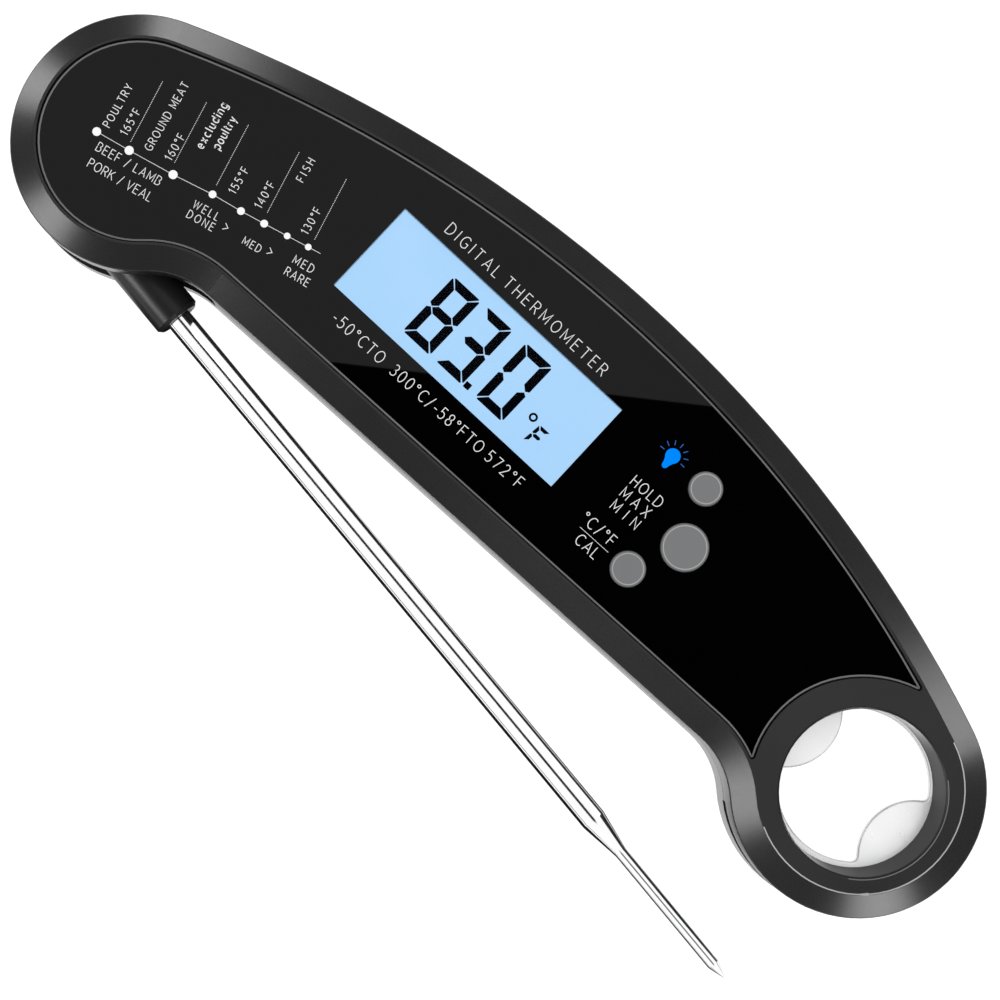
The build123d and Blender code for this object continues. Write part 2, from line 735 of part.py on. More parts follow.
with BuildPart() as board_leads:
    for side in (-1, 1):
        y = side * 0.6
        with BuildLine():
            run = FilletPolyline(
                (pivot.X + 0.6, y, lead_top),
                (-43.0, y, lead_top),
                (-43.0, y, board_top),
                radius=0.6,
            )
        with BuildSketch(Plane(origin=run @ 0, z_dir=run % 0)):
            Circle(lead_radius)
        sweep()
save(board_leads, "board_leads")

# ---------------------------------------------------------------------------------------------------------
# Battery and its door
# ---------------------------------------------------------------------------------------------------------

with BuildPart() as coin_cell:
    with BuildSketch(Plane.XY.offset(cell_z)):
        with Locations((battery_centre.X, battery_centre.Y)):
            Circle(cell_radius)
    extrude(amount=cell_height)
    fillet(coin_cell.edges(), 0.4)
    with BuildSketch(Plane.XY.offset(cell_z + cell_height - 0.3)):
        with Locations((battery_centre.X, battery_centre.Y)):
            Circle(cell_radius)
            Circle(cell_radius - 1.4, mode=Mode.SUBTRACT)
    extrude(amount=1, mode=Mode.SUBTRACT)
save(coin_cell, "coin_cell")

with BuildPart() as battery_positive_contact:
    with BuildSketch(Plane.XY.offset(cell_z + 0.5)):
        with Locations((battery_centre.X, battery_centre.Y)):
            Circle(cell_radius + 0.4)
            Circle(cell_radius, mode=Mode.SUBTRACT)
        with Locations((battery_centre.X + cell_radius, battery_centre.Y)):
            Rectangle(10, 7, mode=Mode.INTERSECT)
    extrude(amount=board_bottom - cell_z - 0.5)
save(battery_positive_contact, "battery_positive_contact")

with BuildPart() as battery_negative_contact:
    cell_top = cell_z + cell_height
    contact_origin = (battery_centre.X, battery_centre.Y + 2, 0)
    with BuildSketch(Plane(origin=contact_origin, x_dir=(1, 0, 0), z_dir=(0, -1, 0))):
        with BuildLine():
            Polyline(
                (-5, board_bottom),
                (-5, board_bottom - 0.4),
                (-2.2, board_bottom - 0.4),
                (1.6, cell_top),
                (5, cell_top),
                (5, cell_top + 0.4),
                (1.8, cell_top + 0.4),
                (-2.0, board_bottom),
                close=True,
            )
        make_face()
    extrude(amount=4)
save(battery_negative_contact, "battery_negative_contact")

with BuildPart() as battery_door:
    with BuildSketch(Plane.XY.offset(0.1)):
        with Locations((battery_centre.X, battery_centre.Y)):
            Circle(door_radius)
    extrude(amount=door_recess_z - 0.2)
    chamfer(battery_door.faces().sort_by(Axis.Z)[0].edges(), 0.3)
    with BuildSketch(Plane.XY.offset(door_recess_z - 0.2)):
        with Locations((battery_centre.X, battery_centre.Y)):
            Circle(plug_radius)
    extrude(amount=track_top - door_recess_z)
    with BuildSketch(Plane.XY.offset(ledge_top + 0.1)):
        add(lug_plan(lug_radius, lug_angle, 0))
    extrude(amount=track_top - ledge_top - 0.2)
    # Hollow plug with a rib behind the coin slot.
    with BuildSketch(Plane.XY.offset(door_recess_z + 0.4)):
        with Locations((battery_centre.X, battery_centre.Y)):
            Circle(plug_radius - 2)
            Rectangle(2 * plug_radius, 2 * coin_slot[1], mode=Mode.SUBTRACT)
    extrude(amount=5, mode=Mode.SUBTRACT)
    with BuildSketch():
        with Locations((battery_centre.X, battery_centre.Y)):
            SlotOverall(coin_slot[0], coin_slot[1])
    extrude(amount=coin_slot[2], mode=Mode.SUBTRACT)
    # Groove of the door's seal.
    with BuildSketch(Plane.XY.offset(door_recess_z - 1.0)):
        with Locations((battery_centre.X, battery_centre.Y)):
            Circle(door_seal_radius + 0.5)
            Circle(door_seal_radius - 0.5, mode=Mode.SUBTRACT)
    extrude(amount=1.5, mode=Mode.SUBTRACT)
save(battery_door, "battery_door")

with BuildPart() as battery_door_seal:
    with BuildSketch(Plane.XZ.offset(-battery_centre.Y)):
        with Locations((battery_centre.X + door_seal_radius, door_recess_z - 0.5)):
            Circle(0.45)
    revolve(axis=Axis((battery_centre.X, battery_centre.Y, 0), (0, 0, 1)))
save(battery_door_seal, "battery_door_seal")

# ---------------------------------------------------------------------------------------------------------
# Probe
# ---------------------------------------------------------------------------------------------------------

with BuildPart() as probe_arm:
    with BuildSketch(Plane.XY.offset(hub_bottom)):
        with Locations((pivot.X, pivot.Y)):
            Circle(hub_radius)
    extrude(amount=hub_top - hub_bottom)
    fillet(probe_arm.edges(), 0.5)
    with BuildSketch(Plane.XY.offset(floor_z + 0.6)):
        with Locations((pivot.X, pivot.Y)):
            Circle(trunnion_radius)
    extrude(amount=hub_bottom - floor_z)
    with BuildSketch(Plane.XY.offset(hub_top - 1)):
        with Locations((pivot.X, pivot.Y)):
            Circle(trunnion_radius)
    extrude(amount=bush_top - 0.1 - hub_top + 1)
    # Sleeve that holds the needle.
    with BuildSketch(needle_plane):
        with BuildLine():
            Polyline(
                (0, 0),
                (0, arm_root_radius),
                (arm_straight_start, arm_radius),
                (arm_length - arm_end_round, arm_radius),
                (arm_length, arm_radius - arm_end_round),
                (arm_length, 0),
                close=True,
            )
        make_face()
    revolve(axis=needle_axis)
    with BuildSketch(needle_plane):
        with BuildLine():
            Polyline(
                (seat_start, 0),
                (seat_start, needle_radius),
                (arm_length + 1, needle_radius),
                (arm_length + 1, 0),
                close=True,
            )
        make_face()
    revolve(axis=needle_axis, mode=Mode.SUBTRACT)
    # Duct from the needle to the hollow upper trunnion.
    start = arm_plane.from_local_coords(Vector(seat_start + 0.5, -arm_offset, arm_z))
    duct = Vector(pivot.X, pivot.Y, arm_z) - start
    with BuildSketch(Plane(origin=start, z_dir=duct)):
        Circle(1.1)
    extrude(amount=duct.length, mode=Mode.SUBTRACT)
    with BuildSketch(Plane.XY.offset(arm_z - 1.5)):
        with Locations((pivot.X, pivot.Y)):
            Circle(trunnion_bore)
    extrude(amount=20, mode=Mode.SUBTRACT)
    # Pocket of the wake magnet.
    with BuildSketch(Plane.XY.offset(hub_top - wake_magnet_height - 0.2)):
        with Locations((wake_magnet_at.X, wake_magnet_at.Y)):
            Circle(wake_magnet_radius)
    extrude(amount=5, mode=Mode.SUBTRACT)
save(probe_arm, "probe_arm")

with BuildPart() as probe_needle:
    with BuildSketch(needle_plane):
        with BuildLine():
            Polyline(
                (seat_start, needle_bore),
                (seat_start, needle_radius),
                (taper_start, needle_radius),
                (taper_end, tip_radius),
                (point_start, tip_radius),
                (needle_end, 0.12),
                (needle_end, 0),
                (point_start - 0.6, 0),
                (point_start - 0.6, tip_bore),
                (taper_end - 0.6, tip_bore),
                (taper_start - 0.6, needle_bore),
                close=True,
            )
        make_face()
    revolve(axis=needle_axis)
save(probe_needle, "probe_needle")

with BuildPart() as thermistor_bead:
    with BuildSketch(needle_plane):
        with BuildLine():
            Polyline((bead_start, 0), (bead_start, 0.42), (bead_end, 0.42), (bead_end, 0), close=True)
        make_face()
    revolve(axis=needle_axis)
save(thermistor_bead, "thermistor_bead")

with BuildPart() as sensor_leads:
    for side in (-1, 1):
        y = side * 0.24
        with BuildLine():
            run = FilletPolyline(
                arm_plane.from_local_coords(Vector(bead_start, -arm_offset + y, arm_z)),
                arm_plane.from_local_coords(Vector(seat_start + 0.5, -arm_offset + y, arm_z)),
                arm_plane.from_local_coords(Vector(y, y, arm_z)),
                arm_plane.from_local_coords(Vector(y, y, lead_top - 0.5)),
                radius=0.7,
            )
        with BuildSketch(Plane(origin=run @ 0, z_dir=run % 0)):
            Circle(sensor_lead_radius)
        sweep()
save(sensor_leads, "sensor_leads")

with BuildPart() as wake_magnet:
    with BuildSketch(Plane.XY.offset(hub_top - wake_magnet_height - 0.2)):
        with Locations((wake_magnet_at.X, wake_magnet_at.Y)):
            Circle(wake_magnet_radius)
    extrude(amount=wake_magnet_height)
save(wake_magnet, "wake_magnet")

with BuildPart() as pivot_bushes:
    for bottom, top in ((floor_z, pocket_bottom), (pocket_top, bush_top)):
        with BuildSketch(Plane.XY.offset(bottom)):
            with Locations((pivot.X, pivot.Y)):
                Circle(bush_radius)
                Circle(trunnion_radius + running_gap, mode=Mode.SUBTRACT)
        extrude(amount=top - bottom)
save(pivot_bushes, "pivot_bushes")

with BuildPart() as friction_washer:
    with BuildSketch(Plane.XY.offset(pocket_bottom)):
        with Locations((pivot.X, pivot.Y)):
            Circle(7.4)
            Circle(trunnion_radius + 0.3, mode=Mode.SUBTRACT)
    extrude(amount=hub_gap - 0.1)
save(friction_washer, "friction_washer")

with BuildPart() as hub_seals:
    with BuildSketch(Plane.XZ):
        centre_x = pivot.X + (hub_groove_inner + hub_groove_outer) / 2
        inset = hub_groove_depth - hub_seal_radius
        with Locations((centre_x, pocket_bottom - inset), (centre_x, pocket_top + inset)):
            Circle(hub_seal_radius)
    revolve(axis=Axis((pivot.X, pivot.Y, 0), (0, 0, 1)))
save(hub_seals, "hub_seals")
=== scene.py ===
"""Looks for the folding meat thermometer on its CAD frame: materials, print, display, light and camera."""

import json
import math

import bmesh
import bpy
from mathutils import Matrix, Vector


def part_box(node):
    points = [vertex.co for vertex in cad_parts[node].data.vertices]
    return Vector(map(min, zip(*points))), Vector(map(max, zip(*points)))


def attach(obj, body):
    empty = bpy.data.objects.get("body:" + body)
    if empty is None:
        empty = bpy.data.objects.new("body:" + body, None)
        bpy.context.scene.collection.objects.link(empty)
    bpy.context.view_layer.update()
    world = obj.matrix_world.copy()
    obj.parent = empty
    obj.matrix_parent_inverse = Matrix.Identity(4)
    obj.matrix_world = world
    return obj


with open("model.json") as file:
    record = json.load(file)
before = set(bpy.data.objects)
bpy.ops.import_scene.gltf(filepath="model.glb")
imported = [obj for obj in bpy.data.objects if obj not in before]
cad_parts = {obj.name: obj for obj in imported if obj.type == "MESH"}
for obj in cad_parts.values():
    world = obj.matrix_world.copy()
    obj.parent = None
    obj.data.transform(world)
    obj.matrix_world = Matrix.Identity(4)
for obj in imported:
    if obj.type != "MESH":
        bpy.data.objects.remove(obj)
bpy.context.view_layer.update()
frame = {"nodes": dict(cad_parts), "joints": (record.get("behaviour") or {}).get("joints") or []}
nodes = frame["nodes"]
MM = 0.001


# --- Places, read from the frame ---
def middle(node):
    """The middle of a CAD node's box."""
    low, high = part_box(node)
    return (low + high) / 2


body_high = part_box("front_housing")[1]
pivot = Vector(next(j["pos_m"] for j in frame["joints"] if j["name"] == "probe_fold"))
ring = middle("opener_plate")
PANEL_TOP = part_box("front_panel")[1].z
LCD_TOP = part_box("lcd_panel")[1].z
MOUTH = Vector((ring.x + 0.55 * MM, ring.y - 0.2 * MM, 0))  # the ring's mouth in the front shell
MOUTH_RADIUS = 11.5 * MM
NEEDLE_TURN = 8.4  # degrees that the needle at rest is turned clockwise from X


# --- Materials ---
def new_material(name, color, roughness, metallic=0.0, **settings):
    """A Principled material. Returns the material, its tree and its shader."""
    made = bpy.data.materials.new(name)
    made.use_nodes = True
    tree = made.node_tree
    shader = tree.nodes["Principled BSDF"]
    shader.inputs["Base Color"].default_value = (*color, 1.0)
    shader.inputs["Roughness"].default_value = roughness
    shader.inputs["Metallic"].default_value = metallic
    for key, value in settings.items():
        shader.inputs[key.replace("_", " ")].default_value = value
    made.diffuse_color = (*color, 1.0)
    return made, tree, shader


def coordinates(tree, scale=(1, 1, 1), rotation=(0, 0, 0)):
    """Object coordinates, in metres, stretched by scale."""
    place = tree.nodes.new("ShaderNodeTexCoord")
    mapping = tree.nodes.new("ShaderNodeMapping")
    mapping.inputs["Scale"].default_value = scale
    mapping.inputs["Rotation"].default_value = rotation
    tree.links.new(place.outputs["Object"], mapping.inputs["Vector"])
    return mapping.outputs["Vector"]


def noise(tree, vector, size, detail=3.0, roughness=0.5):
    """Noise whose grains are size metres across."""
    made = tree.nodes.new("ShaderNodeTexNoise")
    made.inputs["Scale"].default_value = 1.0 / size
    made.inputs["Detail"].default_value = detail
    made.inputs["Roughness"].default_value = roughness
    tree.links.new(vector, made.inputs["Vector"])
    return made.outputs["Fac"]


def spread(tree, value, low, high):
    """Maps a 0 to 1 value to low to high."""
    made = tree.nodes.new("ShaderNodeMapRange")
    made.inputs["From Min"].default_value = 0.3
    made.inputs["From Max"].default_value = 0.7
    made.inputs["To Min"].default_value = low
    made.inputs["To Max"].default_value = high
    tree.links.new(value, made.inputs["Value"])
    return made.outputs["Result"]


def tint(tree, value, first, second):
    """A colour between two, by a 0 to 1 value."""
    ramp = tree.nodes.new("ShaderNodeValToRGB")
    ramp.color_ramp.elements[0].position = 0.3
    ramp.color_ramp.elements[1].position = 0.7
    ramp.color_ramp.elements[0].color = (*first, 1.0)
    ramp.color_ramp.elements[1].color = (*second, 1.0)
    tree.links.new(value, ramp.inputs["Fac"])
    return ramp.outputs["Color"]


def bump(tree, shader, height, distance, strength=1.0):
    """Bumps a shader's surface by a height map."""
    made = tree.nodes.new("ShaderNodeBump")
    made.inputs["Distance"].default_value = distance
    made.inputs["Strength"].default_value = strength
    tree.links.new(height, made.inputs["Height"])
    tree.links.new(made.outputs["Normal"], shader.inputs["Normal"])


def moulded(name, color, roughness, grain=0.00016, depth=0.000004, vary=0.25, **settings):
    """Moulded plastic or rubber: a fine spark-eroded grain, with slow changes of tone and sheen."""
    made, tree, shader = new_material(name, color, roughness, **settings)
    place = coordinates(tree)
    slow = noise(tree, place, 0.014, 2.0)
    fine = noise(tree, place, grain, 2.0)
    darker = [c * (1 - vary * 0.4) for c in color]
    lighter = [c * (1 + vary * 0.4) for c in color]
    tree.links.new(tint(tree, slow, darker, lighter), shader.inputs["Base Color"])
    tree.links.new(spread(tree, fine, roughness * 0.93, roughness * 1.07), shader.inputs["Roughness"])
    bump(tree, shader, fine, depth)
    return made


def shell_finish(name, color, roughness, depth=0.000004, lined=False):
    """Shell moulding, satin outside. Inside the hanging ring it is dull, or else lined with bright metal."""
    lining = (0.95, 0.95, 0.95, 1)
    lining_roughness = 0.12
    near_roughness, far_roughness = 0.12, 0.55  # across the ring's inner wall, towards its outer end
    made = moulded(name, color, roughness, depth=depth)
    tree = made.node_tree
    shader = tree.nodes["Principled BSDF"]
    level = tree.nodes.new("ShaderNodeVectorMath")
    level.operation = "MULTIPLY"
    level.inputs[1].default_value = (1, 1, 0)
    tree.links.new(coordinates(tree), level.inputs[0])
    away = tree.nodes.new("ShaderNodeVectorMath")
    away.operation = "DISTANCE"
    away.inputs[1].default_value = MOUTH
    tree.links.new(level.outputs["Vector"], away.inputs[0])
    inside = tree.nodes.new("ShaderNodeMapRange")
    inside.inputs["From Min"].default_value = MOUTH_RADIUS + 0.2 * MM
    inside.inputs["From Max"].default_value = MOUTH_RADIUS
    tree.links.new(away.outputs["Value"], inside.inputs["Value"])
    if lined:
        for socket, plain, bright in (("Metallic", 0.0, 1.0), ("Roughness", roughness, lining_roughness)):
            change = tree.nodes.new("ShaderNodeMapRange")
            change.inputs["To Min"].default_value = plain
            change.inputs["To Max"].default_value = bright
            tree.links.new(inside.outputs["Result"], change.inputs["Value"])
            tree.links.new(change.outputs["Result"], shader.inputs[socket])
        # A colour mix has its two colours at sockets 6 and 7, and its result at socket 2.
        change = tree.nodes.new("ShaderNodeMix")
        change.data_type = "RGBA"
        tree.links.new(inside.outputs["Result"], change.inputs["Factor"])
        tree.links.new(shader.inputs["Base Color"].links[0].from_socket, change.inputs[6])
        change.inputs[7].default_value = lining
        tree.links.new(change.outputs[2], shader.inputs["Base Color"])
        return made
    split = tree.nodes.new("ShaderNodeSeparateXYZ")
    tree.links.new(level.outputs["Vector"], split.inputs["Vector"])
    outer = tree.nodes.new("ShaderNodeMapRange")
    outer.inputs["From Min"].default_value = MOUTH.x - 1 * MM
    outer.inputs["From Max"].default_value = MOUTH.x + 4 * MM
    outer.inputs["To Min"].default_value = near_roughness
    outer.inputs["To Max"].default_value = far_roughness
    tree.links.new(split.outputs["X"], outer.inputs["Value"])
    blend = tree.nodes.new("ShaderNodeMix")
    tree.links.new(inside.outputs["Result"], blend.inputs["Factor"])
    tree.links.new(shader.inputs["Roughness"].links[0].from_socket, blend.inputs["A"])
    tree.links.new(outer.outputs["Result"], blend.inputs["B"])
    tree.links.new(blend.outputs["Result"], shader.inputs["Roughness"])
    return made


def metal(name, color, roughness, grain=(1, 1, 1), turn=0.0, size=0.0002, depth=0.0000015, metallic=1.0):
    """Bare metal with fine polishing lines, drawn out along one direction."""
    vary = 0.06
    made, tree, shader = new_material(name, color, roughness, metallic)
    lines = noise(tree, coordinates(tree, grain, (0, 0, turn)), size, 3.0)
    slow = noise(tree, coordinates(tree), 0.006, 2.0)
    darker = [c * (1 - vary) for c in color]
    tree.links.new(tint(tree, slow, darker, color), shader.inputs["Base Color"])
    tree.links.new(spread(tree, lines, roughness * 0.8, roughness * 1.2), shader.inputs["Roughness"])
    bump(tree, shader, lines, depth)
    return made


shell_plastic = shell_finish("shell_plastic", (0.018, 0.018, 0.0184), 0.29)
rear_plastic = shell_finish("rear_plastic", (0.018, 0.018, 0.0184), 0.27, 0.000002, lined=True)
arm_plastic = moulded("arm_plastic", (0.011, 0.011, 0.0114), 0.36)
panel_gloss = moulded("panel_gloss", (0.0003, 0.0003, 0.0004), 0.012, grain=0.002, depth=0.0000001, vary=0.5)
key_plastic = moulded("key_plastic", (0.155, 0.157, 0.16), 0.4, vary=0.06)
# Pale greys for thin lines laid along edges: painted highlights, not the plastic's own colour.
painted_highlight_grey = moulded("painted_highlight_grey", (0.15, 0.15, 0.153), 0.4, grain=0.0001, vary=0.3)
painted_highlight_pale = moulded("painted_highlight_pale", (0.36, 0.36, 0.365), 0.4, grain=0.0001, vary=0.3)
seal_rubber = moulded("seal_rubber", (0.02, 0.02, 0.02), 0.6)
white_plastic = moulded("white_plastic", (0.7, 0.7, 0.67), 0.4)
dark_plastic = moulded("dark_plastic", (0.02, 0.02, 0.022), 0.45)
board_green = moulded("board_green", (0.012, 0.12, 0.045), 0.35, grain=0.0008, depth=0.00001)
lead_red = moulded("lead_red", (0.45, 0.03, 0.02), 0.4)
light_guide = moulded("light_guide", (0.62, 0.75, 0.85), 0.2)
needle_steel = metal(
    "needle_steel", (0.93, 0.93, 0.94), 0.1, (1, 5, 5), math.radians(NEEDLE_TURN), depth=0.0000002
)
opener_steel = metal(
    "opener_steel", (0.92, 0.92, 0.93), 0.24, (1, 3, 1), size=0.004, depth=0.0, metallic=0.5
)
screw_steel = metal("screw_steel", (0.42, 0.42, 0.43), 0.3, (1, 1, 1), size=0.0003)
magnet_nickel = metal("magnet_nickel", (0.62, 0.61, 0.59), 0.22, (1, 10, 1), size=0.0004)
contact_nickel = metal("contact_nickel", (0.72, 0.7, 0.66), 0.25, (1, 6, 1), size=0.0003)
cell_steel = metal("cell_steel", (0.68, 0.68, 0.69), 0.26, (1, 12, 1), size=0.0005)
print_white = moulded("print_white", (0.72, 0.72, 0.73), 0.55, grain=0.0001, vary=0.12)
dot_white = moulded("dot_white", (0.8, 0.8, 0.8), 0.55, grain=0.0001, vary=0.04)
print_blue = moulded("print_blue", (0.0, 0.2, 0.9), 0.5, vary=0.05, Specular_IOR_Level=0.0)
print_deep_blue = moulded("print_deep_blue", (0.0, 0.11, 0.45), 0.5, grain=0.0001, vary=0.05)
segment_ink = moulded("segment_ink", (0.001, 0.0015, 0.003), 0.9, vary=0.4, Specular_IOR_Level=0.0)


def display_face():
    """The lit display: light blue, with the faint unevenness of its backlight."""
    made, tree, shader = new_material("display_face", (0.2, 0.36, 0.56), 0.3)
    slow = noise(tree, coordinates(tree), 0.012, 1.0)
    glow = tint(tree, slow, (0.405, 0.682, 1.0), (0.425, 0.7, 1.0))
    tree.links.new(glow, shader.inputs["Emission Color"])
    # The colour given above is the one in the viewport. Under its light the display is dark.
    shader.inputs["Base Color"].default_value = (0.02, 0.03, 0.05, 1)
    shader.inputs["Emission Strength"].default_value = 1.06
    return made


def clear(name, color, roughness):
    """Clear glass."""
    made, tree, shader = new_material(name, color, roughness)
    fine = noise(tree, coordinates(tree), 0.003, 1.0)
    tree.links.new(spread(tree, fine, roughness * 0.8, roughness * 1.2), shader.inputs["Roughness"])
    shader.inputs["Transmission Weight"].default_value = 1.0
    shader.inputs["IOR"].default_value = 1.46
    return made


window_lens = moulded("window_lens", (0.001, 0.001, 0.001), 0.05, grain=0.003, depth=0.0000001, Alpha=0.06)
reed_glass = clear("reed_glass", (0.7, 0.85, 0.8), 0.08)
display_blue = display_face()

finishes = {
    "front_housing": shell_plastic,
    "rear_housing": rear_plastic,
    "battery_door": rear_plastic,
    "housing_seal": seal_rubber,
    "battery_door_seal": seal_rubber,
    "hub_seals": seal_rubber,
    "lcd_connector": seal_rubber,
    "housing_screws": screw_steel,
    "board_screws": screw_steel,
    "front_panel": panel_gloss,
    "display_window": window_lens,
    "back_magnets": magnet_nickel,
    "wake_magnet": magnet_nickel,
    "opener_plate": opener_steel,
    "light_key": key_plastic,
    "hold_key": key_plastic,
    "unit_key": key_plastic,
    "light_plunger": white_plastic,
    "hold_plunger": white_plastic,
    "unit_plunger": white_plastic,
    "backlight_leds": white_plastic,
    "pivot_bushes": white_plastic,
    "switch_bodies": dark_plastic,
    "controller_chip": dark_plastic,
    "thermistor_bead": dark_plastic,
    "lcd_panel": display_blue,
    "backlight_guide": light_guide,
    "circuit_board": board_green,
    "reed_switch": reed_glass,
    "board_leads": lead_red,
    "sensor_leads": lead_red,
    "coin_cell": cell_steel,
    "battery_positive_contact": contact_nickel,
    "battery_negative_contact": contact_nickel,
    "probe_arm": arm_plastic,
    "probe_needle": needle_steel,
    "friction_washer": contact_nickel,
}
for name, finish in finishes.items():
    nodes[name].data.materials.clear()
    nodes[name].data.materials.append(finish)


# --- Flat print, built as thin meshes ---
def link(name, bm, finish, body="handle"):
    """Turns a bmesh into a piece that rides on a body."""
    mesh = bpy.data.meshes.new(name)
    bm.to_mesh(mesh)
    bm.free()
    mesh.materials.append(finish)
    made = bpy.data.objects.new(name, mesh)
    bpy.context.scene.collection.objects.link(made)
    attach(made, body)
    return made


def thicken(bm, depth):
    """Gives flat faces a depth, downwards."""
    faces = list(bm.faces)
    made = bmesh.ops.extrude_face_region(bm, geom=faces)
    low = [v for v in made["geom"] if isinstance(v, bmesh.types.BMVert)]
    bmesh.ops.translate(bm, verts=low, vec=(0, 0, -depth))
    bmesh.ops.recalc_face_normals(bm, faces=bm.faces)


def shape(bm, points, place):
    """Adds one flat polygon, its points in millimetres, put in place by a matrix."""
    bm.faces.new([bm.verts.new(place @ Vector((x * MM, y * MM, 0))) for x, y in points])


def disc(bm, x, y, radius, place, inner=0.0, steps=32):
    """Adds a dot, or a ring if inner is given."""
    turns = [2 * math.pi * i / steps for i in range(steps)]
    rim = [(x + radius * math.cos(t), y + radius * math.sin(t)) for t in turns]
    if not inner:
        shape(bm, rim, place)
        return
    hole = [(x + inner * math.cos(t), y + inner * math.sin(t)) for t in turns]
    for i in range(steps):
        j = (i + 1) % steps
        shape(bm, [rim[i], rim[j], hole[j], hole[i]], place)


def ribbon(bm, points, width, place):
    """Adds a flat line of a width along points, with mitred corners. It may close on itself."""
    path = [Vector(p) for p in points]
    closed = len(path) > 2 and (path[0] - path[-1]).length < 1e-6
    if closed:
        path.pop()
    count = len(path)
    sides = []
    for i, point in enumerate(path):
        before = path[i - 1] if closed or i else None
        after = path[(i + 1) % count] if closed or i < count - 1 else None
        ways = [(b - a).normalized() for a, b in ((before, point), (point, after)) if a and b]
        mean = sum(ways, Vector((0, 0))).normalized()
        reach = width / 2 / max(mean.dot(ways[0]), 0.4)
        side = Vector((-mean.y, mean.x)) * reach
        pair = (point + side, point - side)
        sides.append([bm.verts.new(place @ Vector((p.x * MM, p.y * MM, 0))) for p in pair])
    for i in range(count if closed else count - 1):
        (a, b), (c, d) = sides[i], sides[(i + 1) % count]
        bm.faces.new((a, b, d, c))


def at(x, y, z, turn=0.0):
    """A place on a face: millimetres along X and Y, a height in metres, and a turn in degrees."""
    return Matrix.Translation((x * MM, y * MM, z)) @ Matrix.Rotation(math.radians(turn), 4, "Z")


# --- A plain stroke alphabet, a capital one unit high ---
# An arc wider than BROAD millimetres is drawn in finer steps. The steps are in degrees.
BROAD, FINE_TURN, COARSE_TURN = 5, 4, 22


def bow(x, y, wide, tall, start, end):
    """Points along part of an ellipse, its angles in degrees."""
    steps = max(3, round(abs(end - start) / (COARSE_TURN if wide < BROAD else FINE_TURN)))
    turns = [math.radians(start + (end - start) * i / steps) for i in range(steps + 1)]
    return [(x + wide * math.cos(t), y + tall * math.sin(t)) for t in turns]


def oval(x, y, wide, tall):
    """A whole ellipse."""
    return bow(x, y, wide, tall, 90, 450)


